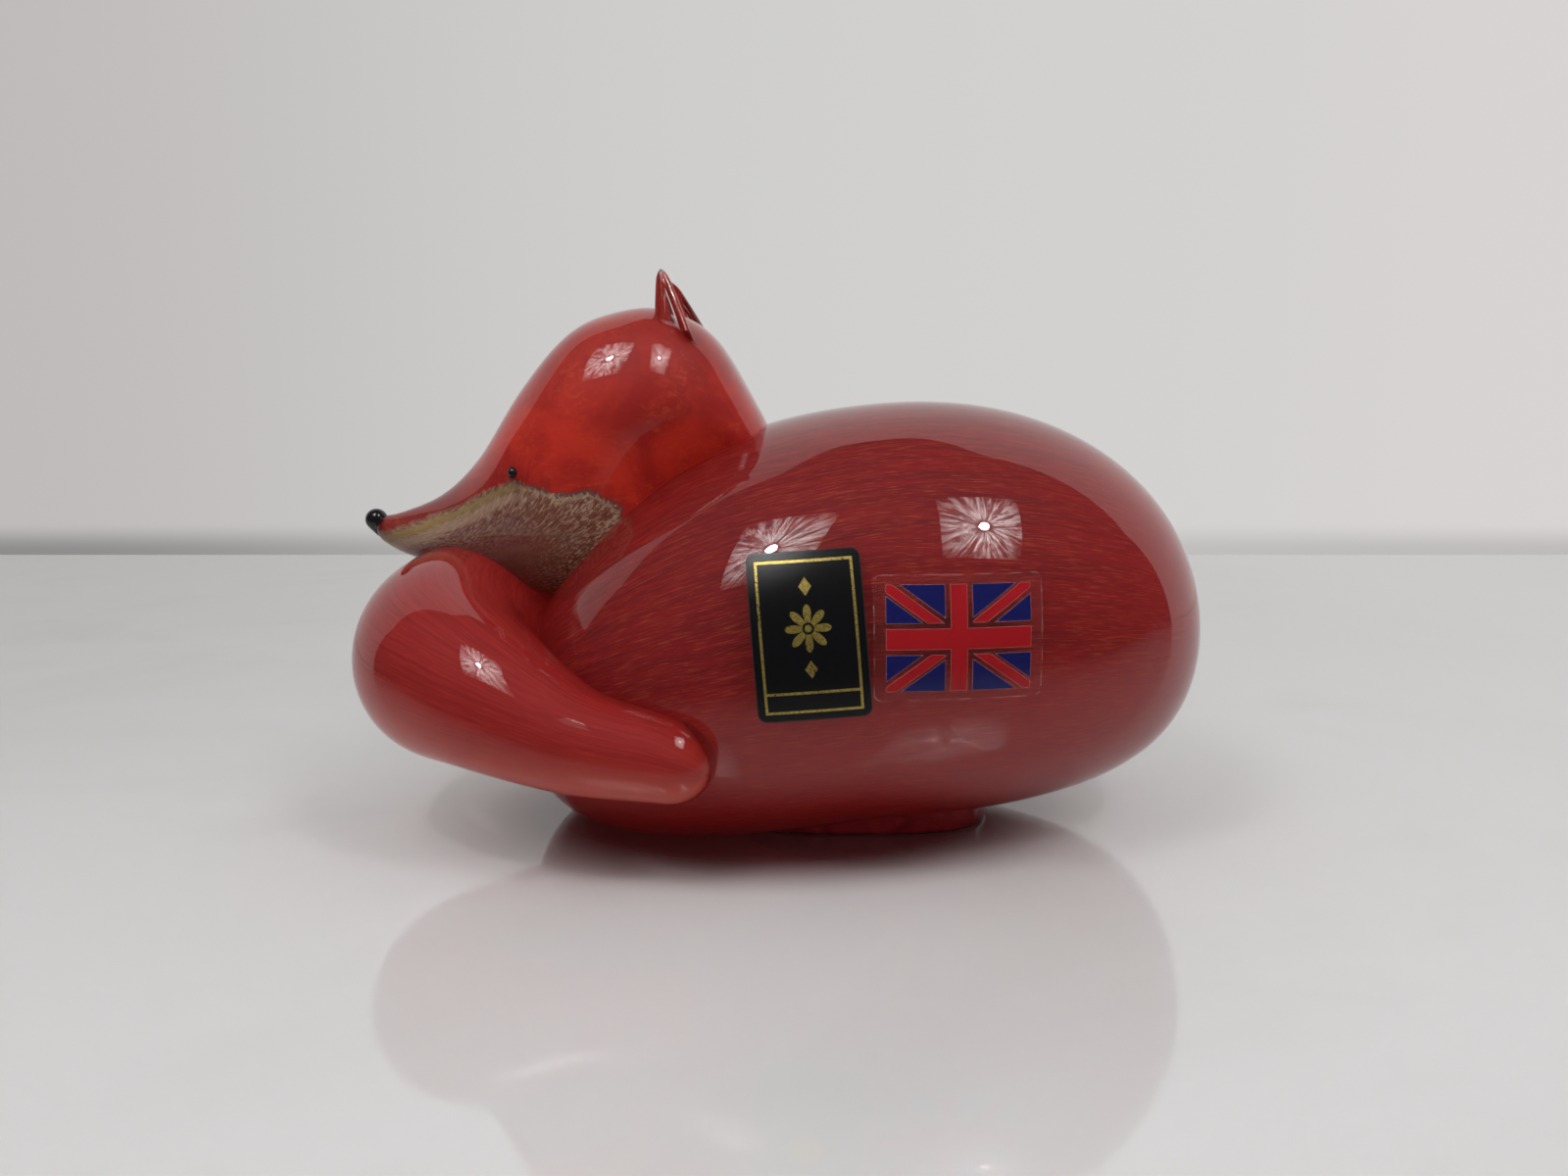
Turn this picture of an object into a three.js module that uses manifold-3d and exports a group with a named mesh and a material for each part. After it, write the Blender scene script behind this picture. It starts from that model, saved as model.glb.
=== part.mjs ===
// Hot-worked glass fox, curled up asleep, in millimetres.
// +Z is up, the snout points to -X, and the near flank with the stickers faces -Y.
// The origin is on the table, under the middle of the body and of its ground base.
import * as THREE from 'three';
import { ParametricGeometry } from 'three/addons/geometries/ParametricGeometry.js';
import { mergeVertices } from 'three/addons/utils/BufferGeometryUtils.js';
import Module from 'manifold-3d';

const wasm = await Module();
wasm.setup();

// Driving dimensions. Places on the fox are shares of the body's half length in x, of its half
// width in y and of its half height in z, so that head, tail and stickers follow the body.
const FUSE_GAP = 0.3; // kept between two pieces that are fused or seated together

const BODY = {
  halfLength: 54.2,
  halfWidth: 41,
  halfHeight: 33.7,
  middle: 0.985, // height of the middle over the table
  rise: 0.187, // how much higher the rump's end of the centre line is than its middle
  arch: 0.252, // how far both ends of the centre line drop below its middle
  fullness: 2.42, // 2 is an ellipse, more is blunter
  casing: 2.6, // wall of clear glass over the colour
  coreLift: 1.2, // the colour sits this much high, which leaves glass to grind at the base
};

const PAD = {
  halfLength: 21.6,
  halfWidth: 16,
  bevel: 0.7, // left by the grinding wheel
  squareness: 3.2, // 2 is an ellipse, more is squarer
};

const HEAD = {
  planeY: 0.024, // the head's plane of symmetry
  casing: 1.8,
  snoutRound: 2.2, // length over which the snout's end is rounded off
  neckRound: 6.6,
  // x, height of the top line, height of the under line, half width
  stations: [
    [-1.46, 1.446, 1.345, 0.054],
    [-1.38, 1.47, 1.268, 0.09],
    [-1.25, 1.562, 1.195, 0.155],
    [-1.13, 1.745, 1.14, 0.243],
    [-0.99, 2.065, 1.089, 0.366],
    [-0.845, 2.318, 1.056, 0.478],
    [-0.715, 2.415, 1.047, 0.527],
    [-0.57, 2.43, 1.068, 0.541],
    [-0.422, 2.297, 1.142, 0.498],
    [-0.293, 1.982, 1.246, 0.405],
    [-0.2, 1.691, 1.335, 0.268],
  ],
};

const BIB = {
  thickness: 1.1, // layer of crushed pale glass under the casing
  // x and z round the pale muzzle and cheek, from the snout to the throat
  edge: [
    [-1.63, 1.39], [-1.41, 1.42], [-1.18, 1.54], [-0.98, 1.65], [-0.83, 1.6],
    [-0.75, 1.61], [-0.68, 1.54], [-0.87, 1.21], [-1.0, 0.9], [-1.63, 0.9],
  ],
};

const EAR = {
  x: -0.515,
  spread: 0.7, // how far out it stands, as a share of the head's half width there
  height: 13.2, // from the head to the point
  root: 6, // length of it that is sunk into the head
  leanForward: 3,
  leanIn: 4.4,
  halfWidth: 4.1,
  cupDepth: 3.6,
  wall: 1.1,
  rim: 1.7,
  tipRound: 1.6,
  turn: 70, // degrees that the cup is turned out from straight ahead
};

const NOSE = { ahead: 0.2, above: 1.2, radius: 1.8, drip: 1.1, dripTilt: -10 };
const EYE = { x: -0.981, rise: 0.2, radius: 0.9, proud: 0.35 };

const TAIL = {
  casing: 1.5,
  rootRound: 6,
  tipRound: 3.4,
  // x, y and z of the middle, and the radius there, from the hidden root to the tip
  stations: [
    [-0.593, 0.732, 0.801, 0.237],
    [-0.833, 0.634, 0.846, 0.312],
    [-1.04, 0.329, 0.89, 0.371],
    [-1.173, -0.073, 0.89, 0.436],
    [-1.162, -0.415, 0.828, 0.422],
    [-1.016, -0.671, 0.76, 0.335],
    [-0.772, -0.841, 0.62, 0.231],
    [-0.528, -0.927, 0.558, 0.154],
    [-0.404, -0.966, 0.546, 0.125],
  ],
};

const STICKERS = {
  black_label: { x: -0.16, z: 1.08, width: 15.4, height: 22.4, corner: 1.2, tilt: 4.8 },
  flag_sticker: { x: 0.208, z: 1.08, width: 22.8, height: 16.8, corner: 0.9, tilt: 0.6 },
};
const STICKER_THICKNESS = 0.3;

// How finely each form is faceted: steps along it and round it
const FACETS = {
  body: [26, 40],
  bodyInside: [18, 28],
  head: [26, 28],
  headInside: [18, 20],
  tail: [28, 24],
  tailInside: [18, 16],
  ear: [10, 16],
  eye: [10, 6],
  nose: [4, 14],
};

const UP = new THREE.Vector3(0, 0, 1);
const ACROSS = new THREE.Vector3(0, 1, 0);
const TURN = 2 * Math.PI;

// A closed geometry becomes a solid once its shared corners are one corner.
function toSolid(geometry) {
  geometry.deleteAttribute('normal');
  geometry.deleteAttribute('uv');
  const merged = mergeVertices(geometry, 1e-4);
  const positions = merged.getAttribute('position').array;
  const corners = merged.index.array;
  const triangles = [];
  for (let i = 0; i < corners.length; i += 3) {
    const [a, b, c] = corners.subarray(i, i + 3);
    if (a !== b && b !== c && c !== a) {
      triangles.push(a, b, c);
    }
  }
  if (signedVolume(positions, triangles) < 0) {
    triangles.reverse();
  }
  const mesh = new wasm.Mesh({
    numProp: 3,
    vertProperties: Float32Array.from(positions),
    triVerts: Uint32Array.from(triangles),
  });
  return new wasm.Manifold(mesh);
}

function signedVolume(positions, triangles) {
  const [a, b, c] = [new THREE.Vector3(), new THREE.Vector3(), new THREE.Vector3()];
  let volume = 0;
  for (let i = 0; i < triangles.length; i += 3) {
    a.fromArray(positions, triangles[i] * 3);
    b.fromArray(positions, triangles[i + 1] * 3);
    c.fromArray(positions, triangles[i + 2] * 3);
    volume += a.dot(b.cross(c)) / 6;
  }
  return volume;
}

function toGeometry(solid) {
  const mesh = solid.getMesh();
  const geometry = new THREE.BufferGeometry();
  geometry.setAttribute('position', new THREE.BufferAttribute(mesh.vertProperties, 3));
  geometry.setIndex(new THREE.BufferAttribute(mesh.triVerts, 1));
  geometry.computeVertexNormals();
  return geometry;
}

// A smooth curve is drawn through each column of the rows; s runs from the first row at 0 to
// the last at 1, and every column is multiplied by its scale.
function columnsOf(rows, scales) {
  const curves = scales.map((scale, column) => {
    const points = rows.map((row) => new THREE.Vector3(row[column] * scale, 0, 0));
    return new THREE.CatmullRomCurve3(points, false, 'catmullrom');
  });
  return (s) => curves.map((curve) => curve.getPoint(THREE.MathUtils.clamp(s, 0, 1)).x);
}

// 0 at the end of a form, rising like a ball's outline to 1 at the given length from it
function roundedOff(distance, length) {
  const left = THREE.MathUtils.clamp(1 - distance / length, 0, 1);
  return Math.sqrt(1 - left * left);
}

// Steps crowd towards both ends, where an outline turns fastest.
function easedAlong(u) {
  return (1 - Math.cos(Math.PI * u)) / 2;
}

function signedPower(base, power) {
  return Math.sign(base) * Math.abs(base) ** power;
}

// A ring gives, for u from 0 to 1 along a form, the ring's middle, its two axes and its half
// sizes along them. A wall makes the ring smaller by its thickness.
const BODY_MIDDLE = BODY.middle * BODY.halfHeight;
const BODY_RISE = BODY.rise * BODY.halfHeight;
const BODY_ARCH = BODY.arch * BODY.halfHeight;

function bodyRing(u, wall = 0) {
  const angle = (u - 0.5) * Math.PI;
  const power = 2 / BODY.fullness;
  const t = signedPower(Math.sin(angle), power);
  const share = Math.max(0, Math.cos(angle)) ** power;
  const lift = wall > 0 ? BODY.coreLift : 0;
  const z = BODY_MIDDLE + BODY_RISE * t - BODY_ARCH * t * t + lift;
  return {
    centre: new THREE.Vector3((BODY.halfLength - wall) * t, 0, z),
    side: ACROSS,
    up: UP,
    halfWidth: (BODY.halfWidth - wall) * share,
    halfHeight: (BODY.halfHeight - wall) * share,
  };
}

const HEAD_PLANE = HEAD.planeY * BODY.halfWidth;
const HEAD_LENGTH = (HEAD.stations.at(-1)[0] - HEAD.stations[0][0]) * BODY.halfLength;
const headColumns = columnsOf(HEAD.stations, [
  BODY.halfLength, BODY.halfHeight, BODY.halfHeight, BODY.halfWidth,
]);

function headRing(u, wall = 0) {
  const s = easedAlong(u);
  const [x, top, under, halfWidth] = headColumns(s);
  const ends = Math.min(
    roundedOff(s * HEAD_LENGTH, HEAD.snoutRound),
    roundedOff((1 - s) * HEAD_LENGTH, HEAD.neckRound),
  );
  const halfHeight = (top - under) / 2;
  const thinnest = Math.min(halfHeight, halfWidth) * ends;
  const left = thinnest > wall ? ends * (1 - wall / thinnest) : 0;
  return {
    centre: new THREE.Vector3(x, HEAD_PLANE, (top + under) / 2),
    side: ACROSS,
    up: UP,
    halfWidth: halfWidth * left,
    halfHeight: halfHeight * left,
  };
}

const tailColumns = columnsOf(TAIL.stations, [
  BODY.halfLength, BODY.halfWidth, BODY.halfHeight, BODY.halfHeight,
]);

function tailMiddle(s) {
  return new THREE.Vector3(...tailColumns(s).slice(0, 3));
}

const TAIL_LENGTH = new THREE.CatmullRomCurve3(
  TAIL.stations.map((_, i) => tailMiddle(i / (TAIL.stations.length - 1))),
).getLength();

function tailRing(u, wall = 0) {
  const s = easedAlong(u);
  const step = 0.004;
  const ahead = tailMiddle(Math.min(1, s + step));
  const heading = ahead.sub(tailMiddle(Math.max(0, s - step))).normalize();
  const side = new THREE.Vector3().crossVectors(UP, heading).normalize();
  const ends = Math.min(
    roundedOff(s * TAIL_LENGTH, TAIL.rootRound),
    roundedOff((1 - s) * TAIL_LENGTH, TAIL.tipRound),
  );
  const radius = Math.max(0, tailColumns(s)[3] * ends - wall);
  return {
    centre: tailMiddle(s),
    side,
    up: new THREE.Vector3().crossVectors(heading, side),
    halfWidth: radius,
    halfHeight: radius,
  };
}

// The stretch of a form, as two values of u, in which its ring still has a size inside the wall
function stretchInside(ring, wall) {
  const steps = 400;
  const sizes = Array.from({ length: steps + 1 }, (_, i) => ring(i / steps, wall).halfHeight);
  const first = sizes.findIndex((size) => size > 0);
  const last = sizes.findLastIndex((size) => size > 0);
  return [Math.max(0, first - 1) / steps, Math.min(steps, last + 1) / steps];
}

function onRing(at, angle) {
  return at.centre.clone()
    .addScaledVector(at.side, at.halfWidth * Math.cos(angle))
    .addScaledVector(at.up, at.halfHeight * Math.sin(angle));
}

// The direction straight out of a form's skin
function outwardsAt(ring, u, angle, wall) {
  const step = 0.002;
  const along = onRing(ring(u + step, wall), angle).sub(onRing(ring(u - step, wall), angle));
  const at = ring(u, wall);
  const around = onRing(at, angle + step).sub(onRing(at, angle - step));
  const out = along.cross(around).normalize();
  const fromMiddle = onRing(at, angle).sub(at.centre);
  return out.dot(fromMiddle) < 0 ? out.negate() : out;
}

// The closed skin of a form, as deep inside it as the wall, then moved out by grow
function skin(ring, [along, around], { wall = 0, grow = 0 } = {}) {
  const [from, to] = stretchInside(ring, wall);
  const nearEnd = 0.03;
  const poles = {
    0: ring(from, wall).centre.sub(ring(from + nearEnd, wall).centre).normalize(),
    1: ring(to, wall).centre.sub(ring(to - nearEnd, wall).centre).normalize(),
  };
  const place = (v, u, target) => {
    const reach = THREE.MathUtils.lerp(from, to, u);
    const angle = (v % 1) * TURN;
    const at = ring(reach, wall);
    if (poles[u]) {
      target.copy(at.centre).addScaledVector(poles[u], grow);
      return;
    }
    target.copy(onRing(at, angle));
    if (grow > 0) {
      target.addScaledVector(outwardsAt(ring, reach, angle, wall), grow);
    }
  };
  return toSolid(new ParametricGeometry(place, around, along));
}

// A prism that is wider than the fox, from an outline of x and z
function prismAcross(outline) {
  const reach = 3 * BODY.halfWidth;
  const shape = new THREE.Shape(outline.map(([x, z]) => new THREE.Vector2(x, z)));
  const geometry = new THREE.ExtrudeGeometry(shape, { depth: 2 * reach, bevelEnabled: false });
  geometry.rotateX(Math.PI / 2);
  geometry.translate(0, reach, 0);
  return toSolid(geometry);
}

function ball(radius, { x, y, z }) {
  const geometry = new THREE.SphereGeometry(radius, ...FACETS.eye);
  geometry.translate(x, y, z);
  return toSolid(geometry);
}

// The squarish plug of glass that the base was ground flat on, rising into the body
function padPlug(grow) {
  const outline = new THREE.Shape();
  const points = 40;
  const inset = PAD.bevel - grow;
  for (let i = 0; i < points; i += 1) {
    const angle = (i / points) * TURN;
    const x = signedPower(Math.cos(angle), 2 / PAD.squareness) * (PAD.halfLength - inset);
    const y = signedPower(Math.sin(angle), 2 / PAD.squareness) * (PAD.halfWidth - inset);
    if (i === 0) {
      outline.moveTo(x, y);
    } else {
      outline.lineTo(x, y);
    }
  }
  outline.closePath();
  const geometry = new THREE.ExtrudeGeometry(outline, {
    depth: BODY_MIDDLE / 2,
    bevelEnabled: true,
    bevelSegments: 2,
    bevelSize: PAD.bevel,
    bevelThickness: PAD.bevel,
  });
  geometry.translate(0, 0, PAD.bevel - grow);
  return toSolid(geometry);
}

// The body: a clear casing over a streaky core, with the pad let into it from below
const belowTable = toSolid(
  new THREE.BoxGeometry(
    4 * BODY.halfLength, 4 * BODY.halfWidth, 2 * BODY.halfHeight,
  ).translate(0, 0, -BODY.halfHeight),
);
const bodyHollow = skin(bodyRing, FACETS.bodyInside, { wall: BODY.casing });
const bodyCutter = skin(bodyRing, FACETS.body, { grow: FUSE_GAP });

function bodyCasing() {
  const outside = skin(bodyRing, FACETS.body);
  return outside.subtract(bodyHollow).subtract(belowTable).subtract(padPlug(FUSE_GAP));
}

function bodyCore() {
  return skin(bodyRing, FACETS.bodyInside, { wall: BODY.casing + FUSE_GAP });
}

function basePad() {
  return padPlug(0).subtract(bodyHollow);
}

// The tail: a fat teardrop laid round the end of the body and open where it is fused to it
const tailCutter = skin(tailRing, FACETS.tail, { grow: FUSE_GAP });

function tailCasing() {
  const outside = skin(tailRing, FACETS.tail).subtract(bodyCutter);
  return outside.subtract(skin(tailRing, FACETS.tailInside, { wall: TAIL.casing }));
}

function tailCore() {
  const colour = skin(tailRing, FACETS.tailInside, { wall: TAIL.casing + FUSE_GAP });
  return colour.subtract(bodyCutter);
}

// The head: casing, coloured core, and a layer of pale crushed glass along muzzle and cheeks
const headCutter = skin(headRing, FACETS.head, { grow: FUSE_GAP });

function insideHead(wall) {
  const besideTail = skin(tailRing, FACETS.tail, { grow: FUSE_GAP + wall });
  return skin(headRing, FACETS.headInside, { wall }).subtract(besideTail);
}

// The part of a head within the bib's edge, which a clearance moves back
function bibRegion(clearance) {
  const middle = BIB.edge.reduce((sum, [x, z]) => [sum[0] + x, sum[1] + z], [0, 0])
    .map((sum) => sum / BIB.edge.length);
  return prismAcross(BIB.edge.map(([x, z]) => {
    const reach = new THREE.Vector2((x - middle[0]) * BODY.halfLength, (z - middle[1]) * BODY.halfHeight);
    reach.setLength(reach.length() + clearance);
    return [middle[0] * BODY.halfLength + reach.x, middle[1] * BODY.halfHeight + reach.y];
  }));
}

// The head's ring at a given x, found by halving the stretch that holds it
function headRingAt(x) {
  let [low, high] = [0, 1];
  for (let i = 0; i < 24; i += 1) {
    const middle = (low + high) / 2;
    if (headRing(middle).centre.x < x) {
      low = middle;
    } else {
      high = middle;
    }
  }
  return headRing(low);
}

// Where an eye sits: hand is -1 on the near side and 1 on the far side.
function eyePlace(hand) {
  const ring = headRingAt(EYE.x * BODY.halfLength);
  const reach = ring.halfWidth * Math.sqrt(1 - EYE.rise ** 2) - EYE.radius + EYE.proud;
  const z = ring.centre.z + EYE.rise * ring.halfHeight;
  return new THREE.Vector3(ring.centre.x, HEAD_PLANE + hand * reach, z);
}

function headCasing() {
  const outside = skin(headRing, FACETS.head).subtract(bodyCutter).subtract(tailCutter);
  return outside.subtract(insideHead(HEAD.casing))
    .subtract(ball(EYE.radius + FUSE_GAP, eyePlace(-1)))
    .subtract(ball(EYE.radius + FUSE_GAP, eyePlace(1)));
}

const HEAD_WALL = HEAD.casing + FUSE_GAP;

function headCore() {
  const underBib = insideHead(HEAD_WALL + BIB.thickness + FUSE_GAP);
  const besideBib = insideHead(HEAD_WALL).subtract(bibRegion(FUSE_GAP));
  return underBib.add(besideBib).subtract(bodyCutter);
}

function throatBib() {
  const layer = insideHead(HEAD_WALL).subtract(insideHead(HEAD_WALL + BIB.thickness));
  return layer.subtract(bodyCutter).intersect(bibRegion(0));
}

// An ear: a pulled point whose section is a bent slab, cupped forwards and outwards
function ear(hand) {
  const ring = headRingAt(EAR.x * BODY.halfLength);
  const out = EAR.spread * ring.halfWidth;
  const seat = ring.centre.z + ring.halfHeight * Math.sqrt(1 - EAR.spread ** 2);
  const length = EAR.height + EAR.root;
  const turn = THREE.MathUtils.degToRad(EAR.turn);
  const opening = new THREE.Vector3(-Math.cos(turn), hand * Math.sin(turn), 0);
  const edgewise = new THREE.Vector3(Math.sin(turn), hand * Math.cos(turn), 0);
  const place = (v, u, target) => {
    const phi = (v % 1) * TURN;
    const end = roundedOff((1 - u) * length, EAR.tipRound);
    const halfWidth = EAR.halfWidth * (1 - u) ** 0.8 * end;
    const cupDepth = EAR.cupDepth * (1 - u) ** 0.8 * end;
    const theta = signedPower(Math.cos(phi), 0.6) * THREE.MathUtils.degToRad(80);
    const [across, deep] = [halfWidth * Math.sin(theta), cupDepth * Math.cos(theta)];
    const normal = new THREE.Vector2(cupDepth * Math.sin(theta), halfWidth * Math.cos(theta)).normalize();
    const wall = THREE.MathUtils.lerp(EAR.wall, EAR.rim, Math.abs(Math.sin(theta)));
    const offset = (wall / 2) * signedPower(Math.sin(phi), 0.6) * end * (u > 0 ? 1 : 0);
    const rise = u * length - EAR.root;
    const lean = rise / EAR.height;
    target.set(EAR.x * BODY.halfLength - EAR.leanForward * lean, hand * (out - EAR.leanIn * lean), seat + rise);
    target.addScaledVector(edgewise, across + normal.x * offset);
    target.addScaledVector(opening, cupDepth / 2 - deep - normal.y * offset);
    target.y += HEAD_PLANE;
  };
  const [along, around] = FACETS.ear;
  return toSolid(new ParametricGeometry(place, around, along)).subtract(headCutter);
}

// The nose: a bead of black glass on the end of the snout, with a short drawn-down drip
function nose() {
  const [steps, around] = FACETS.nose;
  const profile = new THREE.Shape();
  profile.moveTo(0, -NOSE.radius - NOSE.drip);
  profile.quadraticCurveTo(NOSE.radius * 0.35, -NOSE.radius, NOSE.radius * 0.8, -NOSE.radius * 0.6);
  profile.absarc(0, 0, NOSE.radius, -Math.asin(0.6), Math.PI / 2, false);
  const geometry = new THREE.LatheGeometry(profile.getPoints(steps), around);
  geometry.rotateX(Math.PI / 2);
  geometry.rotateY(THREE.MathUtils.degToRad(NOSE.dripTilt));
  const [x, top, under] = headColumns(0);
  geometry.translate(x - NOSE.ahead, HEAD_PLANE, (top + under) / 2 + NOSE.above);
  return toSolid(geometry).subtract(headCutter);
}

// The y of the body's near flank, moved out by grow, at a point of x and z
function nearFlank(x, z, grow) {
  const t = THREE.MathUtils.clamp(x / (BODY.halfLength + grow), -1, 1);
  const share = (1 - Math.abs(t) ** BODY.fullness) ** (1 / BODY.fullness);
  const middle = BODY_MIDDLE + BODY_RISE * t - BODY_ARCH * t * t;
  const high = (z - middle) / ((BODY.halfHeight + grow) * share);
  return -(BODY.halfWidth + grow) * share * Math.sqrt(Math.max(0, 1 - high * high));
}

// Points round a rectangle with rounded corners, about its middle
function roundedRim(width, height, corner) {
  const [arcSteps, edgeSteps] = [2, 4];
  const arcs = [[1, 1], [-1, 1], [-1, -1], [1, -1]].map(([right, top], quarter) => {
    const middle = new THREE.Vector2(right * (width / 2 - corner), top * (height / 2 - corner));
    return Array.from({ length: arcSteps + 1 }, (_, i) => {
      const angle = (quarter + i / arcSteps) * (Math.PI / 2);
      return new THREE.Vector2(Math.cos(angle), Math.sin(angle)).multiplyScalar(corner).add(middle);
    });
  });
  return arcs.flatMap((arc, i) => {
    const next = arcs[(i + 1) % arcs.length][0];
    const edge = Array.from({ length: edgeSteps - 1 }, (_, k) => (
      arc.at(-1).clone().lerp(next, (k + 1) / edgeSteps)
    ));
    return [...arc, ...edge];
  });
}

// A sticker lies on the flank: its skin runs from the middle of its front over the rim to the
// middle of its back.
function sticker({ x, z, width, height, corner, tilt }) {
  const rim = roundedRim(width, height, corner);
  const lean = THREE.MathUtils.degToRad(tilt);
  const [middleX, middleZ] = [x * BODY.halfLength, z * BODY.halfHeight];
  const rings = 3;
  const place = (v, u, target) => {
    const onFront = u < 0.5;
    const share = Math.min(1, 2 * Math.min(u, 1 - u) * (rings + 0.5) / rings);
    const at = rim[Math.round(v * rim.length) % rim.length].clone().multiplyScalar(share);
    at.rotateAround(new THREE.Vector2(), lean);
    const grow = FUSE_GAP + (onFront ? STICKER_THICKNESS : 0);
    target.set(middleX + at.x, nearFlank(middleX + at.x, middleZ + at.y, grow), middleZ + at.y);
  };
  return toSolid(new ParametricGeometry(place, rim.length, 2 * rings + 1));
}

const FINISHES = {
  clear: { color: 0xf2e6e4, roughness: 0.05 },
  bodyRed: { color: 0x8c1f1f, roughness: 0.25 },
  headRed: { color: 0xb32518, roughness: 0.22 },
  tailRed: { color: 0xb03028, roughness: 0.22 },
  maroon: { color: 0x5d1418, roughness: 0.15 },
  frit: { color: 0x9c8272, roughness: 0.45 },
  black: { color: 0x0c0c0f, roughness: 0.06 },
  foil: { color: 0x16161a, roughness: 0.35 },
  film: { color: 0x2b2f8c, roughness: 0.3 },
};

// Pieces of one finish by name: each is a mesh with a material of its own.
function pieces(finish, solids) {
  return Object.entries(solids).map(([name, solid]) => {
    const material = new THREE.MeshStandardMaterial({ ...FINISHES[finish], metalness: 0 });
    const mesh = new THREE.Mesh(toGeometry(solid), material);
    mesh.name = name;
    return mesh;
  });
}

const fox = new THREE.Group();

const body = new THREE.Group();
body.add(
  ...pieces('clear', { body_casing: bodyCasing() }),
  ...pieces('bodyRed', { body_core: bodyCore() }),
  ...pieces('maroon', { base_pad: basePad() }),
  ...pieces('foil', { black_label: sticker(STICKERS.black_label) }),
  ...pieces('film', { flag_sticker: sticker(STICKERS.flag_sticker) }),
);
fox.add(body);

const tail = new THREE.Group();
tail.add(
  ...pieces('clear', { tail_casing: tailCasing() }),
  ...pieces('tailRed', { tail_core: tailCore() }),
);
fox.add(tail);

const head = new THREE.Group();
head.add(
  ...pieces('clear', { head_casing: headCasing(), ear_left: ear(-1), ear_right: ear(1) }),
  ...pieces('headRed', { head_core: headCore() }),
  ...pieces('frit', { throat_bib: throatBib() }),
  ...pieces('black', {
    nose: nose(),
    eye_left: ball(EYE.radius, eyePlace(-1)),
    eye_right: ball(EYE.radius, eyePlace(1)),
  }),
);
fox.add(head);

export default fox;
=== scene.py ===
"""Looks of the curled-up glass fox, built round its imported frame.

Every form is worked out in millimetres and becomes metres when its mesh is finished. The snout
points to -X, the near flank with the stickers faces -Y, and +Z is up.
"""

import logging
import math
from bisect import bisect
from collections.abc import Callable, Sequence
from dataclasses import dataclass
from enum import Enum
from functools import lru_cache, reduce

import bmesh
import bpy
from mathutils import Euler, Matrix, Vector, kdtree, noise


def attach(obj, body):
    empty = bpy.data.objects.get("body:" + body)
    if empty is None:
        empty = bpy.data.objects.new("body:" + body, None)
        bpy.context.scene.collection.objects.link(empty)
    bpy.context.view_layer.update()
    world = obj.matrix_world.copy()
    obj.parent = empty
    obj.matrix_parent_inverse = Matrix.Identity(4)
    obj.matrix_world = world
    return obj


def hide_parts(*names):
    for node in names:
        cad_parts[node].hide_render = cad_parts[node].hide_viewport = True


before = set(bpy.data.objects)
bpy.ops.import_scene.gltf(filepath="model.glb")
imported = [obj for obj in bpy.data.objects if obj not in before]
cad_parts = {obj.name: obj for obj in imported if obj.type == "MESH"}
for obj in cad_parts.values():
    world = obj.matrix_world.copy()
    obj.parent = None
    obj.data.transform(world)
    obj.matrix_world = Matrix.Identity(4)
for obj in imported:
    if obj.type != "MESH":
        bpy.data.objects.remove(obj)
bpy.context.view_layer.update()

LOG = logging.getLogger("fox")
MM = 0.001
UP = Vector((0, 0, 1))
ACROSS = Vector((0, 1, 0))
SLICES = 400
SHARP = math.radians(40)

BMesh = bmesh.types.BMesh
Tree = bpy.types.NodeTree
Socket = bpy.types.NodeSocket
Span = tuple[float, float]
Slope = tuple[float, float]
Point = tuple[float, float]
Relief = tuple[float, float]
Triple = tuple[float, float, float]
Colour = tuple[float, float, float, float]
Value = Socket | float | tuple[float, ...]
Inputs = dict[str | int, Value]


# Shapes


def signed_power(base: float, power: float) -> float:
    """The power of a number's size, with the number's sign."""
    return math.copysign(abs(base) ** power, base)


def clamp(value: float, low: float = 0.0, high: float = 1.0) -> float:
    """The value, held between low and high."""
    return max(low, min(high, value))


def smooth_step(low: float, high: float, value: float) -> float:
    """0 below low and 1 above high, with an eased rise between them."""
    share = clamp((value - low) / (high - low))
    return share * share * (3 - 2 * share)


def eased_along(u: float) -> float:
    """Steps that crowd towards both ends of a form, where its outline turns fastest."""
    return (1 - math.cos(math.pi * u)) / 2


def rounded_off(distance: float, length: float) -> float:
    """0 at the end of a form, rising like a ball's outline to 1 at the given length from it."""
    left = clamp(1 - distance / length)
    return math.sqrt(1 - left * left)


def curve_at(values: Sequence[float], s: float) -> float:
    """A smooth curve drawn through evenly spaced values.

    Args:
        values: What the curve passes through, from s = 0 to s = 1.
        s: How far along the curve.

    Returns:
        The curve's value there.
    """
    last = len(values) - 1
    reach = clamp(s) * last
    i = min(int(reach), last - 1)
    w = reach - i
    a, b = values[i], values[i + 1]
    before = values[i - 1] if i > 0 else 2 * a - b
    after = values[i + 2] if i + 2 <= last else 2 * b - a
    slope_a, slope_b = (b - before) / 2, (after - a) / 2
    bend = 3 * (b - a) - 2 * slope_a - slope_b
    twist = 2 * (a - b) + slope_a + slope_b
    return a + w * (slope_a + w * (bend + w * twist))


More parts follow.
